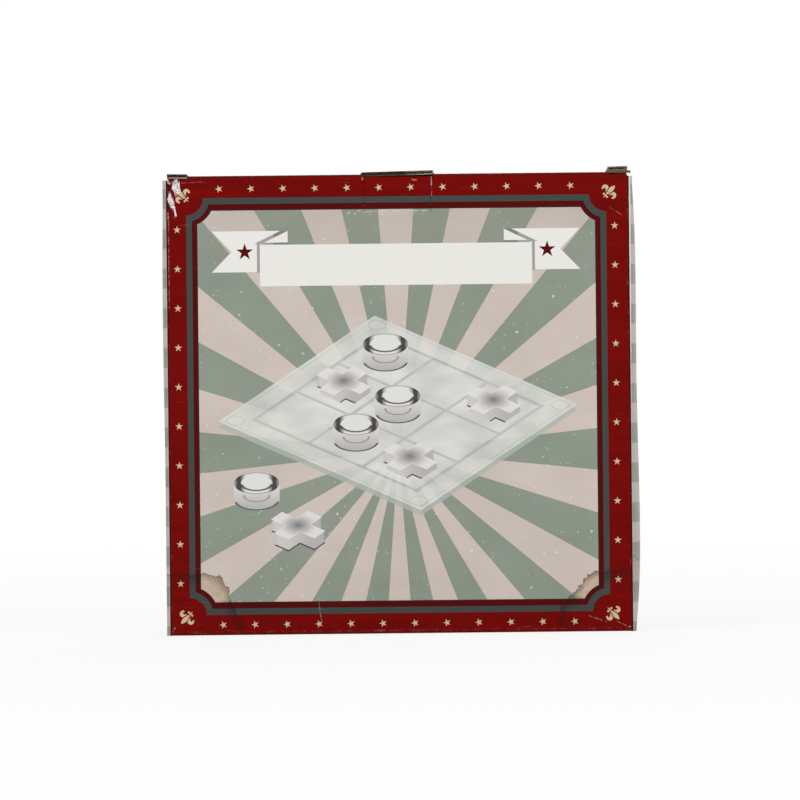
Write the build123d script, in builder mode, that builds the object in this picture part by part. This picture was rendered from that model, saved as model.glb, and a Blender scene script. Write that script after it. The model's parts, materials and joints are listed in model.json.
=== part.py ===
from build123d import *
import os

# Boxed tic-tac-toe game: a tuck-top carton of corrugated board around a glass game in a foam tray.
# Millimetres. The carton stands upright, +Z up, with its printed front towards -Y and its width along X.
# The origin is the middle of the footprint, on the surface that the carton stands on.

os.makedirs("parts", exist_ok=True)

# Glass board
glass_side = 250.0
glass_thickness = 6.0
glass_corner_radius = 5.0
glass_edge_bevel = 0.8
foot_radius = 6.0
foot_height = 3.0
foot_edge_bevel = 0.8
foot_inset = 20.0

# Playing pieces
nought_radius = 23.0
nought_height = 18.0
nought_edge_bevel = 1.5
nought_rim_width = 3.5
nought_dish_depth = 6.0
cross_span = 45.0
cross_arm_width = 15.0
cross_height = 16.0
cross_bevel = 1.2

# Moulded foam
pocket_pitch = 80.0
tray_side_rim = 9.1
tray_end_rim = 2.6
tray_web = 6.0
tray_edge_radius = 3.0
front_sheet_thickness = 4.0
back_sheet_thickness = 3.4
sheet_edge_clearance = 2.0

# Corrugated board and its folds
board = 2.4
fold_gap = 0.1
crease_radius = 3.0
bottom_fold_radius = 2.0
glue_flap_thickness = 1.4
glue_flap_width = 28.0
glue_flap_end_margin = 14.0
glue_flap_taper = 8.0

# Clearances of what the carton holds
glass_fit = 0.4
glass_seat_gap = 0.2
piece_fit = 0.3
foot_fit = 0.3
tray_side_fit = 0.5
sheet_gap = 0.2
head_gap = 0.3

# Tuck closure
tuck_length = 14.0
tuck_corner_radius = 10.0
tuck_gap = 1.4
closure_side_inset = 2.8
closure_proud = 0.5
corner_lug_width = 11.6
centre_lug_width = 42.0
slit_clearance = 0.6
spring_bend_length = 20.0
spring_run_out = 8.0
left_lug_spring = 1.2
left_slit_spring = 1.0
centre_lug_spring_left = 1.1
centre_lug_spring_right = 2.0
right_slit_spring = 3.0
right_lug_spring = 3.3

# Front panel and its lock tab
front_notch_depth = 1.1
lock_tab_width = 39.5
lock_tab_height = 20.7
lock_tab_kerf = 0.6

# Dust flaps: the back edge slopes so that the flap may rise at half the speed of the closure
dust_flap_length = 40.0
dust_flap_slope = 0.5
dust_flap_back_margin = 2.9
dust_flap_tuck_gap = 3.0
dust_flap_shoulder_gap = 0.4
dust_flap_tip_radius = 5.0

# Interlocking bottom
ramp_length = 9.0
fold_land = 1.0
bottom_flap_play = 1.0
crease_strip = 4.5
bottom_side_flap_length = 86.0
bottom_side_flap_setback = 2.0
bottom_side_flap_taper = 7.0
catch_flap_reach = 28.6
catch_flap_corner = 9.0
tongue_width = 80.0
tongue_slit = 1.5
tongue_hold = 11.0
tongue_tip_radius = 8.0
tongue_ramp_length = 12.8
recess_clearance = 3.0
relief_clearance = 0.6

# Bulges of the side walls, as (share of the wall's height, how far the middle stands out)
left_bulge = ((0.0, 0.3), (0.3, 0.4), (0.52, 1.2), (0.75, 1.5), (1.0, 0.3))
right_bulge = ((0.0, 0.4), (0.12, 3.1), (0.35, 3.2), (0.6, 2.4), (1.0, 0.3))

# Depth of the stack, from the front wall to the back wall
pocket_depth = nought_height + piece_fit
glass_recess_depth = glass_thickness + 2 * glass_seat_gap
tray_depth = glass_recess_depth + tray_web + pocket_depth
back_gap = glue_flap_thickness + sheet_gap
inner_depth = (
    sheet_gap + front_sheet_thickness + sheet_gap
    + tray_depth + sheet_gap + back_sheet_thickness + back_gap
)
carton_depth = inner_depth + 2 * board
half_depth = carton_depth / 2
inner_half_depth = inner_depth / 2
front_sheet_face = -inner_half_depth + sheet_gap
tray_front = front_sheet_face + front_sheet_thickness + sheet_gap
tray_back = tray_front + tray_depth
back_sheet_face = tray_back + sheet_gap

# Width
tray_width = glass_side + 2 * (glass_fit + tray_side_rim)
carton_width = tray_width + 2 * (tray_side_fit + board)
half_width = carton_width / 2
inner_half_width = half_width - board
flat_half_width = half_width - crease_radius
flat_half_depth = half_depth - crease_radius

# Height: three board layers below the tray, the dust flaps and the closure above it
layer_step = board + fold_gap
floor_level = 3 * layer_step
tray_height = glass_side + 2 * (glass_fit + tray_end_rim)
tray_top = floor_level + tray_height
tray_middle = floor_level + tray_height / 2
dust_level = tray_top + head_gap
dust_top = dust_level + board
closure_level = dust_top + fold_gap
closure_top = closure_level + board
front_top = closure_top - closure_proud
notch_level = front_top - front_notch_depth

# Closure outline
closure_half_width = half_width - closure_side_inset
slit_x = closure_half_width - corner_lug_width
centre_lug_x = centre_lug_width / 2
tuck_face = -inner_half_depth + tuck_gap
tuck_inner_face = tuck_face + board
tuck_half_width = slit_x - slit_clearance
tuck_top = closure_level - fold_gap
tuck_tip = tuck_top - tuck_length
bend_line = -half_depth + spring_bend_length

# Bottom outline
shoulder_x = inner_half_width - fold_land - ramp_length - fold_gap
flap_back_limit = inner_half_depth - fold_land - ramp_length - fold_gap
tongue_root = -half_depth + board + ramp_length
recess_half_width = tongue_width / 2 + recess_clearance
tongue_landing = tongue_root + tongue_ramp_length
tongue_tip = tongue_landing + tongue_hold
catch_front = inner_half_depth - catch_flap_reach

# Width through all of the carton, for cutting tools
cut_span = 2 * carton_width


def finish(part, name):
    """Label a finished piece and write it to its own file."""
    part.label = name
    export_step(part, f"parts/{name}.step")


def bulge_outline(bulge):
    """Lay the cross-section of a right-hand side wall, with both rounded creases and a bowed middle."""
    front_centre = (flat_half_width, -flat_half_depth)
    back_centre = (flat_half_width, flat_half_depth)
    inner_radius = crease_radius - board
    CenterArc(front_centre, crease_radius, -90, 90)
    ThreePointArc(
        (half_width, -flat_half_depth), (half_width + bulge, 0), (half_width, flat_half_depth)
    )
    CenterArc(back_centre, crease_radius, 0, 90)
    Line((flat_half_width, half_depth), (flat_half_width, inner_half_depth))
    CenterArc(back_centre, inner_radius, 0, 90)
    ThreePointArc(
        (inner_half_width, -flat_half_depth),
        (inner_half_width + bulge, 0),
        (inner_half_width, flat_half_depth),
    )
    CenterArc(front_centre, inner_radius, -90, 90)
    Line((flat_half_width, -inner_half_depth), (flat_half_width, -half_depth))


def side_wall(bulges):
    """Build a right-hand side wall, bowed by bulges, its top mitred where the dust flap folds."""
    with BuildPart() as wall:
        for share, bulge in bulges:
            with BuildSketch(Plane.XY.offset(share * dust_top)):
                with BuildLine():
                    bulge_outline(bulge)
                make_face()
        loft()
        with BuildSketch(Plane.XZ):
            with BuildLine():
                Polyline(
                    (half_width, dust_top),
                    (half_width + board, dust_top + board),
                    (half_width - 2 * board, dust_top + board),
                    (half_width - 2 * board, dust_top - 2 * board),
                    close=True,
                )
            make_face()
        extrude(amount=flat_half_depth, both=True, mode=Mode.SUBTRACT)
    return wall.part


def dust_flap():
    """Build a right-hand dust flap: mitred at its fold, back edge sloped, front edge stepped."""
    tuck_side = tuck_inner_face + dust_flap_tuck_gap
    shoulder_front = -flat_half_depth + dust_flap_shoulder_gap
    back_start = half_depth - dust_flap_back_margin
    tip_x = half_width - dust_flap_length
    tip_back = back_start - dust_flap_slope * dust_flap_length
    shoulder_inner = slit_x + slit_clearance
    with BuildPart() as flap:
        with BuildSketch(Plane.XY.offset(dust_level)):
            with BuildLine():
                Polyline(
                    (half_width, shoulder_front),
                    (shoulder_inner, shoulder_front),
                    (shoulder_inner, tuck_side),
                    (tip_x, tuck_side),
                    (tip_x, tip_back),
                    (half_width, back_start),
                    close=True,
                )
            make_face()
        extrude(amount=board)
        fillet(flap.edges().filter_by(Axis.Z).group_by(Axis.X)[0], dust_flap_tip_radius)
        with BuildSketch(Plane.XZ):
            with BuildLine():
                Polyline(
                    (half_width, dust_top),
                    (half_width + board, dust_top),
                    (half_width + board, dust_level - board),
                    (half_width - 2 * board, dust_level - board),
                    close=True,
                )
            make_face()
        extrude(amount=cut_span, both=True, mode=Mode.SUBTRACT)
    return flap.part


def bottom_side_flap():
    """Build a right-hand bottom flap that climbs on to the front flap and lies there."""
    back_edge = flap_back_limit
    front_edge = -half_depth + board + crease_strip + bottom_side_flap_setback
    inner_end = inner_half_width - bottom_side_flap_length
    ramp_start = inner_half_width - fold_land
    ramp_end = ramp_start - ramp_length
    with BuildPart() as flap:
        with BuildSketch(Plane.XZ):
            with BuildLine():
                Polyline(
                    (inner_half_width, 0),
                    (ramp_start, 0),
                    (ramp_end, layer_step),
                    (inner_end, layer_step),
                    (inner_end, layer_step + board),
                    (ramp_end, layer_step + board),
                    (ramp_start, board),
                    (inner_half_width, board),
                    close=True,
                )
            make_face()
        extrude(amount=half_depth, both=True)
        with BuildSketch():
            with BuildLine():
                Polyline(
                    (inner_half_width, front_edge),
                    (inner_half_width, back_edge),
                    (ramp_end, back_edge),
                    (inner_end, back_edge - bottom_side_flap_taper),
                    (inner_end, front_edge + bottom_side_flap_taper),
                    (ramp_end, front_edge),
                    close=True,
                )
            make_face()
        extrude(amount=floor_level, mode=Mode.INTERSECT)
    return flap.part


def closure_section(x, lift, front):
    """Sketch the closure's section at x: its front edge stands at front, sprung up by lift."""
    front_lift = lift * (bend_line - front) / spring_bend_length
    with BuildSketch(Plane.YZ.offset(x)) as section:
        with BuildLine():
            Polyline(
                (half_depth, closure_top),
                (bend_line, closure_top),
                (front, closure_top + front_lift),
                (front, closure_level + front_lift),
                (bend_line, closure_level),
                (inner_half_depth, closure_level),
                close=True,
            )
        make_face()
    return section.sketch.face()


def pocket_cells():
    """Give each pocket's column and row, counted from the middle one, and its place in X and Z."""
    for row in (-1, 0, 1):
        for column in (-1, 0, 1):
            yield column, row, column * pocket_pitch, tray_middle + row * pocket_pitch


def holds_nought(column, row):
    """Noughts lie in the corners and the middle of the tray, crosses between them."""
    return (column + row) % 2 == 0


def cross_outline(growth=0.0):
    """Lay a plus-shaped outline, its arms grown all round by growth."""
    Rectangle(cross_span + 2 * growth, cross_arm_width + 2 * growth)
    Rectangle(cross_arm_width + 2 * growth, cross_span + 2 * growth)


# Carton walls

with BuildPart() as front_panel:
    with BuildSketch(Plane.XZ.offset(inner_half_depth)):
        with BuildLine():
            Polyline(
                (-flat_half_width, board),
                (-flat_half_width, notch_level),
                (-slit_x + slit_clearance, notch_level),
                (-slit_x + slit_clearance, front_top),
                (-centre_lug_x - slit_clearance, front_top),
                (-centre_lug_x - slit_clearance, notch_level),
                (centre_lug_x + slit_clearance, notch_level),
                (centre_lug_x + slit_clearance, front_top),
                (slit_x - slit_clearance, front_top),
                (slit_x - slit_clearance, notch_level),
                (flat_half_width, notch_level),
                (flat_half_width, board),
                close=True,
            )
        make_face()
        with BuildLine():
            Polyline(
                (-lock_tab_width / 2, notch_level - lock_tab_height),
                (-lock_tab_width / 2, notch_level),
                (lock_tab_width / 2, notch_level),
                (lock_tab_width / 2, notch_level - lock_tab_height),
                close=True,
            )
        make_face(mode=Mode.SUBTRACT)
    extrude(amount=board)
finish(front_panel.part, "front_panel")

with BuildPart() as lock_tab:
    with BuildSketch(Plane.XZ.offset(inner_half_depth)):
        with Locations((0, notch_level - lock_tab_height / 2)):
            Rectangle(lock_tab_width - 2 * lock_tab_kerf, lock_tab_height)
    extrude(amount=board)
finish(lock_tab.part, "lock_tab")

with BuildPart() as back_panel:
    with BuildSketch(Plane.YZ):
        with BuildLine():
            Polyline(
                (half_depth, 0),
                (half_depth, closure_top),
                (inner_half_depth, closure_level),
                (inner_half_depth, 0),
                close=True,
            )
        make_face()
    extrude(amount=flat_half_width, both=True)
finish(back_panel.part, "back_panel")

with BuildPart() as right_side_panel:
    add(side_wall(right_bulge))
finish(right_side_panel.part, "right_side_panel")

with BuildPart() as left_side_panel:
    add(side_wall(left_bulge))
    mirror(about=Plane.YZ, mode=Mode.REPLACE)
finish(left_side_panel.part, "left_side_panel")

# The maker's joint: a crushed flap glued inside the back wall, beside the left upright crease

with BuildPart() as glue_flap:
    glue_bottom = floor_level + glue_flap_end_margin
    glue_top = dust_level - glue_flap_end_margin
    glue_outer = -flat_half_width
    glue_inner = glue_outer + glue_flap_width
    with BuildSketch(Plane.XZ.offset(-inner_half_depth)):
        with BuildLine():
            Polyline(
                (glue_outer, glue_bottom),
                (glue_outer, glue_top),
                (glue_inner, glue_top - glue_flap_taper),
                (glue_inner, glue_bottom + glue_flap_taper),
                close=True,
            )
        make_face()
    extrude(amount=glue_flap_thickness)
finish(glue_flap.part, "glue_flap")

# Closure, in spans between stations: the lugs cut free of the tuck fold spring up and reach forward

closure_stations = (
    (-closure_half_width, left_lug_spring),
    (-slit_x, left_slit_spring),
    (-slit_x + spring_run_out, 0),
    (-centre_lug_x - spring_run_out, 0),
    (-centre_lug_x, centre_lug_spring_left),
    (centre_lug_x, centre_lug_spring_right),
    (centre_lug_x + spring_run_out, 0),
    (slit_x - spring_run_out, 0),
    (slit_x, right_slit_spring),
    (closure_half_width, right_lug_spring),
)
lug_starts = (-closure_half_width, -centre_lug_x, slit_x)

with BuildPart() as top_closure_panel:
    for (start, start_lift), (end, end_lift) in zip(closure_stations, closure_stations[1:]):
        span_front = -half_depth if start in lug_starts else tuck_face
        span_start = closure_section(start, start_lift, span_front)
        span_end = closure_section(end, end_lift, span_front)
        loft(sections=(span_start, span_end), ruled=True)
finish(top_closure_panel.part, "top_closure_panel")

with BuildPart() as tuck_flap:
    with BuildSketch(Plane.XZ.offset(-tuck_inner_face)) as tuck_outline:
        with Locations((0, tuck_top - tuck_length / 2)):
            Rectangle(2 * tuck_half_width, tuck_length)
        fillet(tuck_outline.vertices().group_by(Axis.Y)[0], tuck_corner_radius)
    extrude(amount=board)
finish(tuck_flap.part, "tuck_flap")

with BuildPart() as right_dust_flap:
    add(dust_flap())
finish(right_dust_flap.part, "right_dust_flap")

with BuildPart() as left_dust_flap:
    add(dust_flap())
    mirror(about=Plane.YZ, mode=Mode.REPLACE)
finish(left_dust_flap.part, "left_dust_flap")

# Bottom, outermost layer: the front flap, flat on the ground, with the tongue that climbs through the
# recess of the back flap and lands on top of it

with BuildPart() as bottom_front_flap:
    with BuildSketch():
        with BuildLine():
            Polyline(
                (-flat_half_width, -half_depth),
                (-flat_half_width, -half_depth + crease_strip),
                (-shoulder_x, -half_depth + board + crease_strip),
                (-shoulder_x, flap_back_limit),
                (shoulder_x, flap_back_limit),
                (shoulder_x, -half_depth + board + crease_strip),
                (flat_half_width, -half_depth + crease_strip),
                (flat_half_width, -half_depth),
                close=True,
            )
        make_face()
        with Locations((0, (tongue_root + flap_back_limit) / 2)):
            Rectangle(tongue_width + 2 * tongue_slit, flap_back_limit - tongue_root, mode=Mode.SUBTRACT)
    extrude(amount=board)
    fillet(
        bottom_front_flap.edges().filter_by(Axis.X).group_by(Axis.Y)[0].sort_by(Axis.Z)[0],
        bottom_fold_radius,
    )
    with BuildSketch(Plane.YZ):
        with BuildLine():
            Polyline(
                (tongue_root, 0),
                (tongue_landing, 3 * layer_step),
                (tongue_tip, 3 * layer_step),
                (tongue_tip, 3 * layer_step + board),
                (tongue_landing, 3 * layer_step + board),
                (tongue_root, board),
                close=True,
            )
        make_face()
    extrude(amount=tongue_width / 2, both=True)
    fillet(
        bottom_front_flap.edges().filter_by(Axis.Z).group_by(Axis.Y)[-1],
        tongue_tip_radius,
    )
finish(bottom_front_flap.part, "bottom_front_flap")

with BuildPart() as bottom_right_flap:
    add(bottom_side_flap())
finish(bottom_right_flap.part, "bottom_right_flap")

with BuildPart() as bottom_left_flap:
    add(bottom_side_flap())
    mirror(about=Plane.YZ, mode=Mode.REPLACE)
finish(bottom_left_flap.part, "bottom_left_flap")

# Bottom, innermost layer: the back flap, whose recess catches the tongue

with BuildPart() as bottom_back_flap:
    catch_half_width = inner_half_width - bottom_flap_play
    catch_ramp_start = inner_half_depth - fold_land
    catch_ramp_end = catch_ramp_start - ramp_length
    catch_level = 2 * layer_step
    with BuildSketch(Plane.YZ):
        with BuildLine():
            Polyline(
                (inner_half_depth, 0),
                (catch_ramp_start, 0),
                (catch_ramp_end, catch_level),
                (catch_front, catch_level),
                (catch_front, catch_level + board),
                (catch_ramp_end, catch_level + board),
                (catch_ramp_start, board),
                (inner_half_depth, board),
                close=True,
            )
        make_face()
    extrude(amount=catch_half_width, both=True)
    chamfer(
        bottom_back_flap.edges().filter_by(Axis.Z).group_by(Axis.Y)[0],
        catch_flap_corner,
    )
    with BuildSketch():
        with Locations((0, (catch_front + tongue_landing) / 2)):
            Rectangle(2 * recess_half_width, tongue_landing - catch_front)
    extrude(amount=floor_level, mode=Mode.SUBTRACT)
finish(bottom_back_flap.part, "bottom_back_flap")

# Foam

with BuildPart() as foam_tray:
    with BuildSketch(Plane.XZ.offset(-tray_back)):
        with Locations((0, tray_middle)):
            RectangleRounded(tray_width, tray_height, tray_edge_radius)
    extrude(amount=tray_depth)
    with BuildSketch(Plane.XZ.offset(-tray_front)):
        with Locations((0, tray_middle)):
            RectangleRounded(
                glass_side + 2 * glass_fit, glass_side + 2 * glass_fit, glass_corner_radius
            )
    extrude(amount=-glass_recess_depth, mode=Mode.SUBTRACT)
    with BuildSketch(Plane.XZ.offset(-tray_front - glass_recess_depth)):
        with Locations((0, tray_middle)):
            with GridLocations(glass_side - 2 * foot_inset, glass_side - 2 * foot_inset, 2, 2):
                Circle(foot_radius + foot_fit)
    extrude(amount=-foot_height, mode=Mode.SUBTRACT)
    with BuildSketch(Plane.XZ.offset(-tray_back)):
        for column, row, x, z in pocket_cells():
            with Locations((x, z)):
                if holds_nought(column, row):
                    Circle(nought_radius + piece_fit)
    extrude(amount=pocket_depth, mode=Mode.SUBTRACT)
    with BuildSketch(Plane.XZ.offset(-tray_back)):
        for column, row, x, z in pocket_cells():
            with Locations((x, z)):
                if not holds_nought(column, row):
                    cross_outline(piece_fit)
    extrude(amount=cross_height + piece_fit, mode=Mode.SUBTRACT)
    with BuildSketch(Plane.YZ):
        with BuildLine():
            Polyline(
                (tongue_landing - tongue_ramp_length / 2, floor_level),
                (tongue_landing - board, floor_level + layer_step + relief_clearance),
                (tongue_tip + relief_clearance, floor_level + layer_step + relief_clearance),
                (tongue_tip + relief_clearance, floor_level),
                close=True,
            )
        make_face()
    extrude(amount=recess_half_width, both=True, mode=Mode.SUBTRACT)
finish(foam_tray.part, "foam_tray")

with BuildPart() as front_foam_sheet:
    sheet_bottom = layer_step
    sheet_top = tuck_tip - sheet_edge_clearance
    with BuildSketch(Plane.XZ.offset(-front_sheet_face)):
        with Locations((0, (sheet_bottom + sheet_top) / 2)):
            RectangleRounded(
                2 * (flat_half_width - sheet_edge_clearance),
                sheet_top - sheet_bottom,
                tray_edge_radius,
            )
    extrude(amount=-front_sheet_thickness)
finish(front_foam_sheet.part, "front_foam_sheet")

with BuildPart() as back_foam_sheet:
    with BuildSketch(Plane.XZ.offset(-back_sheet_face)):
        with Locations((0, tray_middle)):
            RectangleRounded(
                2 * (flat_half_width - sheet_edge_clearance), tray_height, tray_edge_radius
            )
    extrude(amount=-back_sheet_thickness)
finish(back_foam_sheet.part, "back_foam_sheet")

# Glass board and its feet, which stand in wells of the tray

glass_back = tray_front + glass_seat_gap + glass_thickness

with BuildPart() as glass_board:
    with BuildSketch(Plane.XZ.offset(-glass_back)):
        with Locations((0, tray_middle)):
            RectangleRounded(glass_side, glass_side, glass_corner_radius)
    extrude(amount=glass_thickness)
    chamfer(glass_board.faces().filter_by(Axis.Y).edges(), glass_edge_bevel)
finish(glass_board.part, "glass_board")

foot_offset = glass_side / 2 - foot_inset
foot_places = ((-1, 1), (1, 1), (-1, -1), (1, -1))
for number, (across, up) in enumerate(foot_places, start=1):
    foot_plane = Plane(
        origin=(across * foot_offset, glass_back, tray_middle + up * foot_offset), z_dir=(0, 1, 0)
    )
    with BuildPart() as board_foot:
        with BuildSketch(foot_plane):
            Circle(foot_radius)
        extrude(amount=foot_height)
        chamfer(board_foot.edges().group_by(Axis.Y)[-1], foot_edge_bevel)
    finish(board_foot.part, f"board_foot_{number}")

# Playing pieces, each standing on the floor of its pocket with its top towards the back

nought_floor = tray_back - pocket_depth + glass_seat_gap
cross_floor = tray_back - cross_height - piece_fit + glass_seat_gap
nought_number = 0
cross_number = 0
for column, row, x, z in pocket_cells():
    if holds_nought(column, row):
        nought_number += 1
        rim_radius = nought_radius - nought_rim_width
        with BuildPart() as nought:
            with BuildSketch(Plane(origin=(x, nought_floor, z), x_dir=(1, 0, 0), z_dir=(0, 0, 1))):
                with BuildLine():
                    Polyline(
                        (0, 0),
                        (nought_radius - nought_edge_bevel, 0),
                        (nought_radius, nought_edge_bevel),
                        (nought_radius, nought_height - nought_edge_bevel),
                        (nought_radius - nought_edge_bevel, nought_height),
                        (rim_radius, nought_height),
                    )
                    TangentArc(
                        (0, nought_height - nought_dish_depth),
                        (rim_radius, nought_height),
                        tangent=(1, 0),
                    )
                    Line((0, nought_height - nought_dish_depth), (0, 0))
                make_face()
            revolve(axis=Axis((x, 0, z), (0, 1, 0)))
        finish(nought.part, f"nought_{nought_number}")
    else:
        cross_number += 1
        with BuildPart() as cross:
            with BuildSketch(Plane(origin=(x, cross_floor, z), x_dir=(1, 0, 0), z_dir=(0, 1, 0))):
                cross_outline()
            extrude(amount=cross_height)
            chamfer(cross.edges().filter_by(Axis.Y, reverse=True), cross_bevel)
        finish(cross.part, f"cross_{cross_number}")
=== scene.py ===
"""A boxed tic-tac-toe game: a printed, worn carton with a sprung lid, and the glass game in its foam tray."""
import json
import logging
import math
from dataclasses import dataclass, replace
from enum import Enum
from typing import Any, Callable, ClassVar, Dict, Sequence, Tuple, Type, Union

import bpy
from mathutils import Matrix, Vector

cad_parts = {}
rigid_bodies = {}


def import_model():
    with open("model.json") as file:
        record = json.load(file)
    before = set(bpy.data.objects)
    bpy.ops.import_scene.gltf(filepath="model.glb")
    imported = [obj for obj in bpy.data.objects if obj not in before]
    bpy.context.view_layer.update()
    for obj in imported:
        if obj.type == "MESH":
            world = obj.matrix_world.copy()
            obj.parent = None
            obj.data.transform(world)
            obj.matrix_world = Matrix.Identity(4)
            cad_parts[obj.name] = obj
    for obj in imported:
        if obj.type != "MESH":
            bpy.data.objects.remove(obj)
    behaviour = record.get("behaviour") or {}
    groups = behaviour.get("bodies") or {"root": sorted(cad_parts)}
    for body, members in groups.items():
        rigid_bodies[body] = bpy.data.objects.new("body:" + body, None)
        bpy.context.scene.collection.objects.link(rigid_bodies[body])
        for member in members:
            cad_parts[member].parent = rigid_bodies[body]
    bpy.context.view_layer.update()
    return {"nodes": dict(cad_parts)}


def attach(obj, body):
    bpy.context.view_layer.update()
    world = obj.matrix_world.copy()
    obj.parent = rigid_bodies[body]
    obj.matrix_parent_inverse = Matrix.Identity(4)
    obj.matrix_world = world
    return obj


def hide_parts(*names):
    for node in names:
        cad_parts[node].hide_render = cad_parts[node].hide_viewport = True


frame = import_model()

log = logging.getLogger("boxed_game")

Tree = bpy.types.NodeTree
Piece = bpy.types.Object
Colour = Tuple[float, float, float, float]
Pair = Tuple[float, float]
Point = Tuple[float, float, float]
Run = Tuple[Point, Point]
Number = Union["Field", float]
Stretch = Union[float, Sequence[float]]
Fields = Sequence["Field"]
Given = Dict[str, "Field"]

UP, DOWN, FRONT, BACK = (0.0, 0.0, 1.0), (0.0, 0.0, -1.0), (0.0, -1.0, 0.0), (0.0, 1.0, 0.0)
LEFT, RIGHT = (-1.0, 0.0, 0.0), (1.0, 0.0, 0.0)

# Lengths are in millimetres. Blender takes metres, so a length is multiplied by MM on its way there.
MM = 0.001
BOARD = 2.4
FLUTE_PITCH = 6.3
RIPPLE = 2 * math.pi / FLUTE_PITCH
FRONT_TOP = 268.2
OUTER_Y = 22.55
CLOSURE_X = 134.6
WALL_X = 137.4
# The two sides of the glass board in the printed picture, across and up.
ALONG, ASIDE = (92.0, 61.0), (118.0, -53.0)
# The distances, in metres, below which the points of a board or of two waves of paper are one.
WELD, SEAM = 2e-6, 1e-5
SMOOTH_ANGLE = math.radians(40)


class Ink(Enum):
    """The printed colours and the bare materials under them, as a screen shows them."""

    BORDER_RED = 120, 6, 3
    BORDER_RED_DARK = 108, 4, 2
    FLAP_RED_DARK = 108, 8, 5
    DEEP_RED = 84, 8, 8
    MAROON = 62, 6, 14
    BAND_GREY = 66, 73, 71
    BAND_LINE = 58, 34, 34
    SAGE = 139, 150, 136
    SAGE_PALE = 147, 156, 143
    PINK = 204, 191, 182
    PINK_PALE = 211, 199, 191
    RAY_GLARE_GREY = 146, 140, 128
    STAR_CREAM = 202, 181, 142
    STAR_PALE = 214, 196, 160
    RIBBON = 236, 235, 230
    RIBBON_SHADE = 164, 161, 158
    RIBBON_FOLD = 128, 130, 126
    SPECK = 228, 224, 214
    STRIPE_SAGE = 142, 143, 132
    STRIPE_SAGE_PALE = 154, 156, 144
    STRIPE_PINK = 181, 174, 168
    STRIPE_PINK_PALE = 192, 184, 179
    CREASE_WHITE = 232, 226, 220
    PAPER_WHITE = 236, 232, 232
    PEEL_FLECK = 112, 52, 70
    PATCH = 164, 145, 121
    PATCH_LIGHT = 200, 181, 163
    PATCH_SIDE = 178, 164, 150
    PATCH_RIM = 104, 84, 66
    KRAFT = 160, 134, 104
    KRAFT_DARK = 96, 76, 58
    # painted shade of the hollows between the flutes
    FLUTE_HOLLOW_SHADE = 38, 30, 26
    LUG_OLIVE = 104, 92, 70
    TORN_LINER = 168, 154, 130
    BURNT = 128, 108, 88
    SCUFF = 182, 128, 116
    SCRATCH = 190, 150, 140
    SCRATCH_FLAP = 196, 158, 146
    PEELED_GREY = 190, 182, 172
    GLASS_TOP = 228, 228, 223
    GLASS_CLOUD = 206, 207, 202
    GLASS_LINE = 190, 197, 192
    GLASS_EDGE = 176, 186, 178
    PIECE_LIGHT = 227, 224, 221
    PIECE_MID = 186, 183, 182
    PIECE_DARK = 56, 50, 52
    PIECE_SIDE = 208, 205, 203
    PIECE_HAZE = 134, 130, 132
    SHADOW_LINE = 30, 16, 16
    BEAD = 232, 232, 230
    BEAD_PALE = 243, 243, 242
    BEAD_SEAM = 196, 198, 198
    FLOAT_GLASS = 240, 250, 246
    FLOAT_EDGE = 182, 222, 206
    ETCHED = 232, 240, 236
    FOOT = 214, 218, 216
    FOOT_PALE = 232, 236, 234

    def linear(self) -> Colour:
        """Give the colour in linear light, as nodes take it, with full alpha."""
        parts = (value / 255 for value in self.value)
        return (*[p / 12.92 if p <= 0.04045 else ((p + 0.055) / 1.055) ** 2.4 for p in parts], 1.0)


def feed(tree: Tree, value: Any, socket: bpy.types.NodeSocket) -> None:
    """Link a field to a socket, or set the socket's own value.

    Args:
        tree: the node tree that holds the socket.
        value: a Field, an Ink or a plain value.
        socket: the input to fill.
    """
    if isinstance(value, Field):
        tree.links.new(value.socket, socket)
    else:
        socket.default_value = value.linear() if isinstance(value, Ink) else value


def step(tree: Tree, operation: str, *values: Number, clamp: bool = False) -> "Field":
    """Add one Math node.

    Args:
        tree: the tree that it goes in.
        operation: its operation.
        values: its inputs, in order.
        clamp: whether its result is kept from 0 to 1.

    Returns:
        Its output.
    """
    node = tree.nodes.new("ShaderNodeMath")
    node.operation, node.use_clamp = operation, clamp
    for socket, value in zip(node.inputs, values):
        feed(tree, value, socket)
    return Field(tree, node.outputs[0])


def maths(operation: str, text: str, swapped: bool = False) -> Callable[..., "Field"]:
    """Make a method that adds one Math node.

    Args:
        operation: the node's operation.
        text: what the method does.
        swapped: whether the other number comes first.

    Returns:
        The method.
    """
    def method(field: "Field", *others: Number) -> "Field":
        """Add the node."""
        return step(field.tree, operation, *((*others, field) if swapped else (field, *others)))

    method.__doc__ = text
    return method


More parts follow.
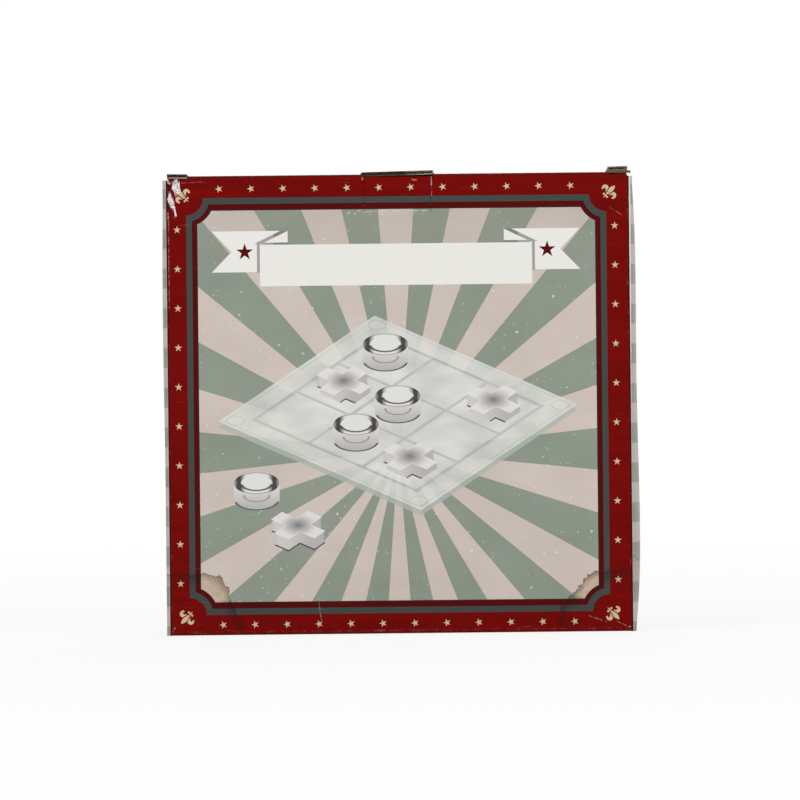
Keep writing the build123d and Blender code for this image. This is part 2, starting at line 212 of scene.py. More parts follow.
@dataclass(frozen=True)
class Field:
    """A number or colour that changes over a surface: one node's output."""

    tree: Tree
    socket: bpy.types.NodeSocket

    __add__ = __radd__ = maths("ADD", "Add a number.")
    __sub__ = maths("SUBTRACT", "Take a number away.")
    __rsub__ = maths("SUBTRACT", "Take this away from a number.", True)
    __mul__ = __rmul__ = maths("MULTIPLY", "Multiply by a number.")
    __truediv__ = maths("DIVIDE", "Divide by a number.")
    __abs__ = maths("ABSOLUTE", "Drop the sign.")
    fraction = maths("FRACT", "Keep what is left after the whole number.")
    whole = maths("FLOOR", "Keep the whole number.")
    over = maths("GREATER_THAN", "Give 1 where this is more than a number, else 0.")
    under = maths("LESS_THAN", "Give 1 where this is less than a number, else 0.")
    higher = maths("MAXIMUM", "Keep the larger of two numbers.")
    lower = maths("MINIMUM", "Keep the smaller of two numbers.")
    root = maths("SQRT", "Give the square root.")
    sine = maths("SINE", "Give the sine.")
    cosine = maths("COSINE", "Give the cosine.")
    turn_from = maths("ARCTAN2", "Give the angle from the other number's axis.")
    times_plus = maths("MULTIPLY_ADD", "Multiply by one number and add another.")

    def __neg__(self) -> "Field":
        """Turn the sign round."""
        return self * -1.0

    def inside(self, blur: float = 0.12) -> "Field":
        """Give 1 where this distance is below 0, with an edge that is blur millimetres wide."""
        return step(self.tree, "MULTIPLY_ADD", self, -1 / blur, 0.5, clamp=True)

    def ramp(self, start: float, end: float) -> "Field":
        """Go from 0 at start to 1 at end."""
        gain = 1 / (end - start)
        return step(self.tree, "MULTIPLY_ADD", self, gain, -start * gain, clamp=True)

    def mix(self, below: Any, above: Any) -> "Field":
        """Use this as a mask between two colours.

        Args:
            below: the colour where this is 0.
            above: the colour where it is 1.

        Returns:
            The mixed colour.
        """
        node = self.tree.nodes.new("ShaderNodeMix")
        node.data_type = "RGBA"
        for number, value in ((0, self), (6, below), (7, above)):
            feed(self.tree, value, node.inputs[number])
        return Field(self.tree, node.outputs[2])

    def lay(self, mask: "Field", above: Any) -> "Field":
        """Lay another colour over this one where the mask is 1."""
        return mask.mix(self, above)


def reach(x: Field, y: Field) -> Field:
    """Give the distance of a point from the middle, from its two sides."""
    return x.times_plus(x, y * y).root()


@dataclass(frozen=True)
class Spot:
    """Where a point lies on the carton, in millimetres."""

    tree: Tree
    x: Field
    y: Field
    z: Field

    @classmethod
    def of(cls, tree: Tree, given: Given) -> "Spot":
        """Read the place from a group's inputs."""
        return cls(tree, given["x"], given["y"], given["z"])

    def texture(self, kind: str, stretch: Stretch) -> bpy.types.ShaderNode:
        """Add a texture at this place.

        Args:
            kind: the texture's node.
            stretch: how large its blots are in millimetres, along each axis or along all.

        Returns:
            The node.
        """
        scales = stretch if isinstance(stretch, tuple) else (stretch,) * 3
        vector = self.tree.nodes.new("ShaderNodeCombineXYZ")
        for part, scale, socket in zip((self.x, self.y, self.z), scales, vector.inputs):
            feed(self.tree, part * (1 / scale), socket)
        node = self.tree.nodes.new(kind)
        self.tree.links.new(vector.outputs[0], node.inputs["Vector"])
        node.inputs["Scale"].default_value = 1.0
        return node

    def noise(self, stretch: Stretch, detail: float = 2.0, rough: float = 0.5) -> Field:
        """Give soft random values from about 0.25 to 0.75.

        Args:
            stretch: how large the blots are, in millimetres.
            detail: how many finer layers they have.
            rough: how strong the finer layers are.

        Returns:
            The values.
        """
        node = self.texture("ShaderNodeTexNoise", stretch)
        node.inputs["Detail"].default_value = detail
        node.inputs["Roughness"].default_value = rough
        return Field(self.tree, node.outputs[0])

    def sway(self, stretch: Stretch, width: float, detail: float = 3.0, rough: float = 0.5) -> Field:
        """Give soft random values on both sides of 0, for ragged outlines."""
        return (self.noise(stretch, detail, rough) - 0.5) * width

    def cells(self, size: float) -> Tuple[Field, Field]:
        """Split the surface into random cells.

        Args:
            size: how large a cell is, in millimetres.

        Returns:
            The distance from a cell's middle, and a random number for each cell.
        """
        node = self.texture("ShaderNodeTexVoronoi", size)
        split = self.tree.nodes.new("ShaderNodeSeparateColor")
        self.tree.links.new(node.outputs["Color"], split.inputs[0])
        return Field(self.tree, node.outputs["Distance"]), Field(self.tree, split.outputs[0])


@dataclass(frozen=True)
class Place(Spot):
    """Where a point lies, and which way its surface faces."""

    face_x: Field
    face_y: Field
    face_z: Field

    @classmethod
    def on(cls, tree: Tree) -> "Place":
        """Read the place from a material's own object.

        Args:
            tree: the material's node tree.

        Returns:
            The place.
        """
        source = tree.nodes.new("ShaderNodeTexCoord")
        parts = []
        for name in ("Object", "Normal"):
            split = tree.nodes.new("ShaderNodeSeparateXYZ")
            tree.links.new(source.outputs[name], split.inputs[0])
            parts.extend(Field(tree, out) for out in split.outputs)
        return cls(tree, *[part * (1 / MM) for part in parts[:3]], *parts[3:])

    def facing(self, way: Point) -> Field:
        """Give how far the surface faces a direction, from -1 to 1."""
        return self.face_x * way[0] + self.face_y * way[1] + self.face_z * way[2]

    def give(self, effect: Type["Effect"], **values: Number) -> Tuple[Field, ...]:
        """Place an effect that takes x, y and z at this point."""
        return effect.place(self.tree, x=self.x, y=self.y, z=self.z, **values)


class Effect:
    """A shader node group, built once and then placed in any material with its own values."""

    takes: ClassVar[Tuple[str, ...]] = ("x", "y")
    gives: ClassVar[Tuple[str, ...]] = ("mask",)

    def draw(self, tree: Tree, given: Given) -> Fields:
        """Fill the group, and give its outputs in the order of gives."""
        raise NotImplementedError

    @classmethod
    def place(cls, tree: Tree, **values: Number) -> Tuple[Field, ...]:
        """Put the group in a tree.

        Args:
            tree: the material or group that it goes in.
            values: its inputs.

        Returns:
            Its outputs, in the order of gives.
        """
        node = tree.nodes.new("ShaderNodeGroup")
        node.node_tree = bpy.data.node_groups.get(cls.__name__) or cls._build()
        for name, value in values.items():
            feed(tree, value, node.inputs[name])
        return tuple(Field(tree, node.outputs[name]) for name in cls.gives)

    @classmethod
    def _build(cls) -> Tree:
        """Make the group with its sockets.

        Returns:
            The group.
        """
        group = bpy.data.node_groups.new(cls.__name__, "ShaderNodeTree")
        for name in cls.takes:
            group.interface.new_socket(name, in_out="INPUT", socket_type="NodeSocketFloat")
        for name in cls.gives:
            kind = "NodeSocketColor" if name == "colour" else "NodeSocketFloat"
            group.interface.new_socket(name, in_out="OUTPUT", socket_type=kind)
        start, end = (group.nodes.new(f"NodeGroup{way}") for way in ("Input", "Output"))
        given = {name: Field(group, start.outputs[name]) for name in cls.takes}
        for name, result in zip(cls.gives, cls().draw(group, given)):
            group.links.new(result.socket, end.inputs[name])
        return group


class StarShape(Effect):
    """Distance from the outline of a five-pointed star that stands on two points."""

    takes = ("x", "y", "size")
    gives = ("distance",)
    FIFTH: ClassVar[float] = math.radians(72)

    def draw(self, tree: Tree, given: Given) -> Fields:
        """Fold the plane five times, then measure to one straight side.

        Args:
            tree: the group.
            given: its inputs by name.

        Returns:
            Its outputs.
        """
        x, y = given["x"], given["y"]
        turn = (x.turn_from(y) / self.FIFTH + 0.5).fraction() - 0.5
        lean = (self.FIFTH - abs(turn) * self.FIFTH).cosine()
        return [reach(x, y) * lean - given["size"] * math.cos(self.FIFTH)]


class FleurShape(Effect):
    """Distance from the outline of a small fleur-de-lis that points along its first axis."""

    takes = ("out", "across")
    gives = ("distance",)
    DISCS: ClassVar[Tuple[Point, ...]] = (
        (0.5, 3.1, 1.95), (-0.95, 3.05, 1.35), (-0.7, 4.1, 0.6), (-2.5, 1.3, 0.6),
    )

    @staticmethod
    def petal(out: Field, across: Field, middle: float, half_length: float, half_width: float) -> Field:
        """Measure to a pointed petal on the axis."""
        radius = (half_length**2 + half_width**2) / (2 * half_width)
        return reach(out - middle, across + (radius - half_width)) - radius

    def draw(self, tree: Tree, given: Given) -> Fields:
        """Join a middle petal, two curled ones, a band and three feet.

        Args:
            tree: the group.
            given: its inputs by name.

        Returns:
            Its outputs.
        """
        out, across = given["out"], abs(given["across"])
        curl, hollow, tip, foot = (
            reach(out - middle, across - aside) - radius for middle, aside, radius in self.DISCS
        )
        leaf = self.petal(out, across, 2.3, 3.1, 1.25)
        slope = across - out * 0.55
        stem = (slope - 1.25).higher(0.45 - slope).higher(abs(out + 0.6) - 1.0)
        shape = leaf.lower(curl.higher(-hollow)).lower(stem.higher(across - 1.6)).lower(tip)
        shape = shape.lower(self.petal(out, across, -2.4, 1.9, 0.42))
        channel = (0.26 - abs(leaf - 0.32)).lower(out + 0.5)
        waist = (0.2 - abs(out + 1.35)).lower(across)
        return [shape.higher(channel).higher(waist).lower(foot)]


class RayMask(Effect):
    """The rays that spread from one point, every other one marked."""

    PAIR: ClassVar[float] = 20.0
    SQUASH: ClassVar[float] = 1.195

    def draw(self, tree: Tree, given: Given) -> Fields:
        """Measure the angle round the middle, and split it in pairs of rays.

        Args:
            tree: the group.
            given: its inputs by name.

        Returns:
            Its outputs.
        """
        x, y = given["x"], given["y"]
        angle = x.turn_from(y * (1 / self.SQUASH)) * (180 / math.pi)
        part = ((angle + self.PAIR / 2) / self.PAIR).fraction()
        width = reach(x, y) * math.radians(self.PAIR)
        return [((0.25 - abs(part - 0.5)) * width).inside(0.2)]


class NotchedFrame(Effect):
    """Distances from the rims of the printed frame, whose corners are scooped out."""

    gives = ("outer", "middle", "ground")
    RIMS: ClassVar[Tuple[Point, ...]] = ((122.8, 121.8, 9.9), (119.4, 118.2, 13.7), (116.2, 114.4, 16.6))

    def draw(self, tree: Tree, given: Given) -> Fields:
        """Measure to three rectangles, less the quarter discs on the outer one's corners.

        Args:
            tree: the group.
            given: its inputs by name.

        Returns:
            Its outputs.
        """
        across, up = abs(given["x"]), abs(given["y"])
        scoop = reach(across - self.RIMS[0][0], up - self.RIMS[0][1])
        return [(across - wide).higher(up - tall).higher(radius - scoop) for wide, tall, radius in self.RIMS]


class BorderStars(Effect):
    """Stars in rows round the border, and a fleur-de-lis in each corner."""

    STAR: ClassVar[float] = 2.32
    FLEUR: ClassVar[Pair] = (124.3, 122.9)
    ROW_PITCH, ROW_START, ROW_LIFT, ROW_AWAY, ROW_END = 18.68, 0.65, 0.3, 127.4, 112
    SIDE_PITCH, SIDE_SHIFT, SIDE_AWAY, SIDE_END = 22.98, 0.2, 127.9, 114

    def draw(self, tree: Tree, given: Given) -> Fields:
        """Fold the border into one star of each row and one corner.

        Args:
            tree: the group.
            given: its inputs by name.

        Returns:
            Its outputs.
        """
        x, y = given["x"], given["y"]
        along = ((x + self.ROW_START) / self.ROW_PITCH).fraction() - 0.5
        off_row, off_side = abs(y + self.ROW_LIFT) - self.ROW_AWAY, abs(x + self.SIDE_SHIFT) - self.SIDE_AWAY
        lying, = StarShape.place(tree, x=off_row, y=along * -self.ROW_PITCH, size=self.STAR)
        rise = (y / self.SIDE_PITCH).fraction() - 0.5
        standing, = StarShape.place(tree, x=off_side, y=rise * self.SIDE_PITCH, size=self.STAR)
        marks = lying.higher(abs(x) - self.ROW_END).lower(standing.higher(abs(y) - self.SIDE_END))
        across, up = abs(x) - self.FLEUR[0], abs(y) - self.FLEUR[1]
        fleur, = FleurShape.place(
            tree, out=(across + up) * math.sqrt(0.5), across=(across - up) * math.sqrt(0.5))
        return [marks.lower(fleur).inside()]


class RibbonPrint(Effect):
    """The folded ribbon with forked tails, and a star on each tail."""

    gives = ("colour", "mask")
    SLOPE: ClassVar[float] = 14.1 / 6.9
    TAIL, TAIL_HALF, TAIL_START, TAIL_END = 224.1, 12.0, 81.2, 107.9
    FORK, FORK_DEEP = 96.1, 11.6
    BAND, BAND_END, BAND_HALF = 215.9, 79.6, 12.1
    FOLD, FOLD_START, FOLD_X, FOLD_TOP = 229.2, 63.2, 62.0, 236.6
    SHADE_X, SHADE_Z, SHADE_HALF, SHADE_LOW, SHADE_TOP = 80.0, 228.95, 1.05, 228.6, 236.3
    SIDE_X, SIDE_HALF, SIDE_Z, SIDE_TALL = 80.4, 0.85, 220.6, 8.9
    EDGE_Z, EDGE_HALF, EDGE_START, EDGE_END, DARK_END = 228.7, 0.6, 62.5, 78, 71.5
    STAR: ClassVar[Point] = (88.4, 223.8, 5.2)

    def draw(self, tree: Tree, given: Given) -> Fields:
        """Draw tails, folds and band on one half; the other half mirrors it.

        Args:
            tree: the group.
            given: its inputs by name.

        Returns:
            Its outputs.
        """
        across, y = abs(given["x"]), given["y"]
        half_height = abs(y - self.TAIL)
        lean = (y - self.FOLD).higher(0.0) * self.SLOPE
        tail = (half_height - self.TAIL_HALF).higher(across - self.TAIL_END)
        tail = tail.higher(self.TAIL_START - lean - across)
        fork = half_height - (across - self.FORK) * (self.TAIL_HALF / self.FORK_DEEP)
        slant = y + across * (1 / self.SLOPE)
        fold = (self.FOLD_START - across).higher(self.FOLD - y)
        fold = fold.higher(slant - (self.FOLD_TOP + self.FOLD_X / self.SLOPE))
        band = (across - self.BAND_END).higher(abs(y - self.BAND) - self.BAND_HALF)
        strip = abs(slant - (self.SHADE_Z + self.SHADE_X / self.SLOPE)) - self.SHADE_HALF
        shade = strip.higher(self.SHADE_LOW - y).higher(y - self.SHADE_TOP)
        side = (abs(across - self.SIDE_X) - self.SIDE_HALF).higher(abs(y - self.SIDE_Z) - self.SIDE_TALL)
        edge = (abs(y - self.EDGE_Z) - self.EDGE_HALF).higher(across - self.EDGE_END)
        edge = edge.higher(self.EDGE_START - across)
        shaded = shade.lower(side).lower(edge)
        colour = shaded.inside().mix(Ink.RIBBON, Ink.RIBBON_SHADE)
        colour = colour.lay(shade.lower(edge).higher(across - self.DARK_END).inside(), Ink.RIBBON_FOLD)
        star, = StarShape.place(tree, x=across - self.STAR[0], y=y - self.STAR[1], size=self.STAR[2])
        shape = tail.higher(-fork).lower(fold).lower(band).lower(shaded)
        return [colour.lay(star.inside(), Ink.DEEP_RED), shape.inside()]


class PrintedNought(Effect):
    """A clear round piece as a small printed picture."""

    gives = ("colour", "mask")
    WIDE, DEEP, TALL = 13.4, 6.4, 9.5
    DISH_SHARE, HOLLOW_SHARE, HOLLOW_LIFT, FOOT_TOP = 0.68, 0.55, 2.2, -1.5

    def oval(self, x: Field, y: Field, scale: float = 1.0) -> Field:
        """Measure to an oval, in millimetres at its top."""
        return (reach(x / (self.WIDE * scale), y / (self.DEEP * scale)) - 1.0) * (self.DEEP * scale)

    def draw(self, tree: Tree, given: Given) -> Fields:
        """Draw the wall, the rim's dark reflections and the dish.

        Args:
            tree: the group.
            given: its inputs by name.

        Returns:
            Its outputs.
        """
        x, y = given["x"], given["y"] + self.TALL / 2
        top = y - self.TALL
        body = self.oval(x, y - y.lower(self.TALL).higher(0.0))
        rim, dish = self.oval(x, top), self.oval(x, top - 0.1, self.DISH_SHARE)
        inner = abs(self.oval(x, y - self.HOLLOW_LIFT, self.HOLLOW_SHARE)) - 0.25
        ends = abs(x).ramp(6.4, 9.4) * abs(x).ramp(13.2, 11.4)
        lip = (abs(dish) - 0.4).higher(top + 0.6)
        colour = (y - 1.0).ramp(-6, 8).mix(Ink.PIECE_MID, Ink.PIECE_LIGHT)
        for mask, above in (
            ((-0.55 - body).higher(y - self.FOOT_TOP).inside(0.6), Ink.PIECE_DARK),
            (inner.higher(y - 2.4).inside(0.4) * 0.55, Ink.PIECE_DARK),
            (rim.inside(0.4), Ink.PIECE_LIGHT),
            (ends * rim.inside(0.4) * 0.95, Ink.PIECE_DARK),
            ((abs(rim + 0.3) - 0.18).inside(0.3) * 0.7, Ink.PIECE_DARK),
            (dish.inside(0.5), Ink.GLASS_TOP),
            (lip.inside(0.4) * 0.9, Ink.PIECE_DARK),
        ):
            colour = colour.lay(mask, above)
        return [colour, body.inside()]


def slanted(x: Field, y: Field, scale: float = 1.0) -> Tuple[Field, Field]:
    """Turn a place in the picture into its shares of the printed board's two sides."""
    whole = (ALONG[0] * ASIDE[1] - ALONG[1] * ASIDE[0]) / scale
    return x * (ASIDE[1] / whole) - y * (ASIDE[0] / whole), y * (ALONG[0] / whole) - x * (ALONG[1] / whole)


class PrintedCross(Effect):
    """A frosted cross as a small printed picture, its arms along the board's sides."""

    gives = ("colour", "mask")
    SIDE: ClassVar[float] = 110.0
    ARM: ClassVar[Pair] = (11.8, 3.9)
    SHIFT: ClassVar[Pair] = (1.07, 0.84)
    DROPS: ClassVar[Tuple[float, ...]] = (1.6, 3.2, 4.8, 6.2)
    FOOT: ClassVar[float] = 7.0

    def plus(self, along: Field, aside: Field, drop: float = 0.0) -> Field:
        """Measure to a cross with arms along both directions.

        Args:
            along, aside: how far a point lies along them.
            drop: how much lower the cross stands.

        Returns:
            The distance.
        """
        a, b = abs(along + drop * self.SHIFT[0]), abs(aside - drop * self.SHIFT[1])
        end, half = self.ARM
        return (a - end).higher(b - half).lower((b - end).higher(a - half))

    def draw(self, tree: Tree, given: Given) -> Fields:
        """Draw the top face, and the sides under it by lower copies.

        Args:
            tree: the group.
            given: its inputs by name.

        Returns:
            Its outputs.
        """
        x, y = given["x"], given["y"]
        along, aside = slanted(x, y, self.SIDE)
        top = side = self.plus(along, aside)
        for drop in self.DROPS:
            side = side.lower(self.plus(along, aside, drop))
        foot = side.lower(self.plus(along, aside, self.FOOT))
        lit = x.ramp(-7.0, 7.0).mix(Ink.PIECE_SIDE, Ink.PIECE_MID)
        upper = reach(x, y * 1.6).ramp(11.0, 0.5).mix(Ink.PIECE_LIGHT, Ink.PIECE_HAZE)
        colour = side.inside(0.4).mix(Ink.PIECE_DARK, lit).lay(top.inside(0.3), upper)
        return [colour.lay((abs(top + 0.25) - 0.2).inside(0.3) * 0.5, Ink.RIBBON), foot.inside()]


class BoardPicture(Effect):
    """A generic picture of a glass board with a three by three grid and some pieces on it."""

    takes = ("x", "y", "cloud")
    gives = ("colour", "mask")
    CORNER: ClassVar[Pair] = (-106.0, 125.0)
    SIDE: ClassVar[float] = 96.0
    THICK: ClassVar[float] = 3.2
    MARGIN: ClassVar[float] = 0.1
    CELLS: ClassVar[float] = 3 / 0.8
    CELL_SIDE: ClassVar[float] = 28.0
    LINE: ClassVar[float] = 0.75
    FOOT, FOOT_RADIUS, FOOT_SCALE = 0.452, 3.4, 100.0
    LIFT: ClassVar[float] = 5.0
    NOUGHTS: ClassVar[Tuple[int, ...]] = (1, 4, 6)
    CROSSES: ClassVar[Tuple[int, ...]] = (2, 3, 8)
    LOOSE_NOUGHT: ClassVar[Pair] = (-84.0, 84.0)
    LOOSE_CROSS: ClassVar[Pair] = (-60.0, 64.0)

    def share(self, x: Field, y: Field) -> Tuple[Field, Field]:
        """Give how far a point lies along the board's two sides, from 0 to 1."""
        return slanted(x - self.CORNER[0], y - self.CORNER[1])

    def cell(self, part: Field) -> Field:
        """Give how far a share of a side lies along the grid, in cells."""
        return (part - self.MARGIN) * self.CELLS

    @staticmethod
    def square(s: Field, t: Field) -> Field:
        """Give how far a point lies from the middle of a square whose side is 1."""
        return abs(s - 0.5).higher(abs(t - 0.5))

    @staticmethod
    def among(number: Field, wanted: Sequence[int]) -> Field:
        """Give 1 where the number is one of those wanted."""
        near = [abs(number - value).under(0.5) for value in wanted]
        return near[0].higher(near[1]).higher(near[2])

    def draw(self, tree: Tree, given: Given) -> Fields:
        """Draw the plate, its grid and feet, then the pieces by the cell they stand in.

        Args:
            tree: the group.
            given: its inputs by name.

        Returns:
            Its outputs.
        """
        x, y = given["x"], given["y"]
        s, t = self.share(x, y)
        far = self.square(s, t)
        plate, field = (far - 0.5) * self.SIDE, (far - 0.4) * self.SIDE
        slab = (self.square(*self.share(x, y + self.THICK)) - 0.5) * self.SIDE
        lines = (self.square(self.cell(s).fraction(), self.cell(t).fraction()) - 0.5) * self.CELL_SIDE + self.LINE
        grid = (-lines).higher(field - self.LINE).inside(0.6)
        from_foot = reach(*((abs(part - 0.5) - self.FOOT) * self.FOOT_SCALE for part in (s, t)))
        foot = abs(from_foot - self.FOOT_RADIUS) - 0.3
        colour = plate.inside().mix(Ink.GLASS_EDGE, given["cloud"].mix(Ink.GLASS_CLOUD, Ink.GLASS_TOP))
        for mask in ((abs(plate + 1.6) - 0.35).inside(0.4) * 0.5, grid, foot.inside(0.5) * 0.7):
            colour = colour.lay(mask, Ink.GLASS_LINE)
        mask = plate.lower(slab).inside() * (0.93 - (field + 2.0).ramp(-1.0, 1.0) * 0.13 - grid * 0.1)
        row, column = (self.cell(part).whole() for part in self.share(x, y - self.LIFT))
        mid_s, mid_t = ((part + 0.5) * (1 / self.CELLS) + self.MARGIN for part in (row, column))
        here_x = x - (mid_s * ALONG[0] + mid_t * ASIDE[0] + self.CORNER[0])
        here_y = y - (mid_s * ALONG[1] + mid_t * ASIDE[1] + self.CORNER[1]) - self.LIFT
        on_board, number = self.square(row - 0.5, column - 0.5).under(1.5), row * 3 + column
        for kind, at_x, at_y, shown in (
            (PrintedNought, here_x, here_y, on_board * self.among(number, self.NOUGHTS)),
            (PrintedCross, here_x, here_y, on_board * self.among(number, self.CROSSES)),
            (PrintedNought, x - self.LOOSE_NOUGHT[0], y - self.LOOSE_NOUGHT[1], 1.0),
            (PrintedCross, x - self.LOOSE_CROSS[0], y - self.LOOSE_CROSS[1], 1.0),
        ):
            piece, shape = kind.place(tree, x=at_x, y=at_y)
            colour, mask = colour.lay(shape * shown, piece), mask.higher(shape * shown)
        return [colour, mask]


class BareLiner(Effect):
    """Bare brown liner, with its fibres."""

    takes = ("x", "y", "z")
    gives = ("colour",)

    def draw(self, tree: Tree, given: Given) -> Fields:
        """Streak and blot the brown.

        Args:
            tree: the group.
            given: its inputs by name.

        Returns:
            Its outputs.
        """
        spot = Spot.of(tree, given)
        colour = spot.noise((0.5, 0.5, 3.0), 3.0, 0.6).ramp(0.3, 0.75).mix(Ink.KRAFT_DARK, Ink.KRAFT)
        return [colour.lay(spot.noise(26).ramp(0.35, 0.65) * 0.35 + 0.5, Ink.KRAFT)]


class RawEdge(Effect):
    """A cut edge of the board: torn liner, and dark gaps between the waves of the flutes."""

    takes = ("x", "y", "z", "along")
    gives = ("colour",)

    def draw(self, tree: Tree, given: Given) -> Fields:
        """Wave the gaps along the edge.

        Args:
            tree: the group.
            given: its inputs by name.

        Returns:
            Its outputs.
        """
        wave = abs((given["along"] / FLUTE_PITCH).fraction() - 0.5) * 4 - 1.0
        ragged = Spot.of(tree, given).noise((1.4, 1.4, 0.5), 3.0)
        # the gaps between the flutes get painted shade
        gap = (wave + (ragged - 0.5) * 2.4).ramp(-0.2, 0.9)
        return [ragged.ramp(0.35, 0.65).mix(Ink.KRAFT_DARK, Ink.KRAFT).lay(gap * 0.8, Ink.FLUTE_HOLLOW_SHADE)]


class PrintSkin(Effect):
    """The laminated print's gloss and relief: soft blotches over the flutes' faint ripple."""

    takes = ("x", "y", "z", "along", "least")
    gives = ("rough", "height")

    def draw(self, tree: Tree, given: Given) -> Fields:
        """Ripple the skin along the way given.

        Args:
            tree: the group.
            given: its inputs by name.

        Returns:
            Its outputs.
        """
        spot = Spot.of(tree, given)
        height = spot.noise(1.6) * 0.02 + (given["along"] * RIPPLE).sine() * 0.012
        return [spot.noise(9, 3.0) * 0.16 + given["least"], height]


class EdgeRub(Effect):
    """Wear near a fold: rubbed patches that thin out away from it."""

    takes = ("x", "y", "z", "away")

    def draw(self, tree: Tree, given: Given) -> Fields:
        """Bite into the print by noise and by the distance from the fold."""
        bite = Spot.of(tree, given).noise((3.0, 3.0, 5.0), 4.0, 0.7)
        return [(given["away"] * 0.25 + bite).ramp(0.52, 0.36)]


class PrintSpecks(Effect):
    """The small pale specks of the worn print, in loose swarms."""

    takes = ("x", "y", "z")
    SIZES: ClassVar[Tuple[Point, ...]] = ((7.0, 0.85, 0.15), (4.1, 0.62, 0.3), (2.7, 0.42, 0.3))

    def draw(self, tree: Tree, given: Given) -> Fields:
        """Scatter specks of three sizes, the largest also outside the swarms.

        Args:
            tree: the group.
            given: its inputs by name.

        Returns:
            Its outputs.
        """
        spot = Spot.of(tree, given)
        ragged = spot.sway(0.6, 1.5)
        swarm = spot.noise(26).ramp(0.44, 0.6)
        layers = []
        for size, radius, least in self.SIZES:
            far, chance = spot.cells(size)
            speck = (far * size + ragged - chance.ramp(least, 1.0) * radius).inside(0.35) * chance.over(least)
            layers.append(speck * (swarm if layers else swarm * 0.6 + 0.4))
        return [layers[0].higher(layers[1]).higher(layers[2])]


class TornPaper(Effect):
    """Fibres and stains of torn paper."""

    takes = ("x", "y", "z")
    gives = ("fibres", "stains")

    def draw(self, tree: Tree, given: Given) -> Fields:
        """Draw the two noises."""
        spot = Spot.of(tree, given)
        return [spot.noise((2.2, 2.2, 0.45), 4.0, 0.7), spot.noise(4.0, 3.0)]


class GlassSkin(Effect):
    """The mould's flow, handling marks and fine grain of glass."""

    takes = ("x", "y", "z")
    gives = ("flow", "marks", "grain")

    def draw(self, tree: Tree, given: Given) -> Fields:
        """Draw the three noises."""
        spot = Spot.of(tree, given)
        return [spot.noise(9), spot.noise(4, 3.0, 0.6), spot.noise(0.4)]


@dataclass(frozen=True)
class Coat:
    """What a finish's nodes give: its colour, its gloss and its relief."""

    colour: Field
    rough: Number
    height: Field
    relief: float = 0.8


def fresh(owner: Union[bpy.types.Material, bpy.types.World]) -> Tree:
    """Give a material or world an empty node tree.

    Args:
        owner: the material or world.

    Returns:
        The tree.
    """
    owner.use_nodes = True
    owner.node_tree.nodes.clear()
    return owner.node_tree


def send(tree: Tree, shader: bpy.types.Node, kind: str = "ShaderNodeOutputMaterial") -> None:
    """Send a shader to the output."""
    tree.links.new(shader.outputs[0], tree.nodes.new(kind).inputs[0])


@dataclass(frozen=True)
class Finish:
    """A material. The nodes that vary over the surface are drawn by each kind of finish."""

    name: str
    specular: float = 0.5

    def draw(self, place: Place) -> Coat:
        """Draw the surface."""
        raise NotImplementedError

    def settle(self, shader: bpy.types.ShaderNode) -> None:
        """Set the shader's own sockets that are the same all over."""
        shader.inputs["Specular IOR Level"].default_value = self.specular

    def make(self) -> bpy.types.Material:
        """Build the material.

        Returns:
            The material, ready to go on a piece.
        """
        material = bpy.data.materials.new(self.name)
        tree = fresh(material)
        coat = self.draw(Place.on(tree))
        shader = tree.nodes.new("ShaderNodeBsdfPrincipled")
        feed(tree, coat.colour, shader.inputs["Base Color"])
        feed(tree, coat.rough, shader.inputs["Roughness"])
        bump = tree.nodes.new("ShaderNodeBump")
        bump.inputs["Distance"].default_value = MM
        bump.inputs["Strength"].default_value = coat.relief
        feed(tree, coat.height, bump.inputs["Height"])
        tree.links.new(bump.outputs[0], shader.inputs["Normal"])
        self.settle(shader)
        send(tree, shader)
        return material


@dataclass(frozen=True)
class Print(Finish):
    """A laminated print on the board's outside, which is bare inside and at its cut edges."""

    specular: float = 0.05
    least_rough: ClassVar[float] = 0.34

    def on_board(self, place: Place, colour: Field, inside: Field, cut: Field, along: Field) -> Coat:
        """Lay the bare inside and the cut edges, and give the print its gloss and relief.

        Args:
            place: where a point lies.
            colour: the print.
            inside: where the board's inner face is.
            cut: where its cut edges are.
            along: the way across the flutes.

        Returns:
            The coat.
        """
        inner, = place.give(BareLiner)
        edge, = place.give(RawEdge, along=along)
        colour = colour.lay(inside, inner).lay(cut, edge)
        return Coat(colour, *place.give(PrintSkin, along=along, least=self.least_rough))


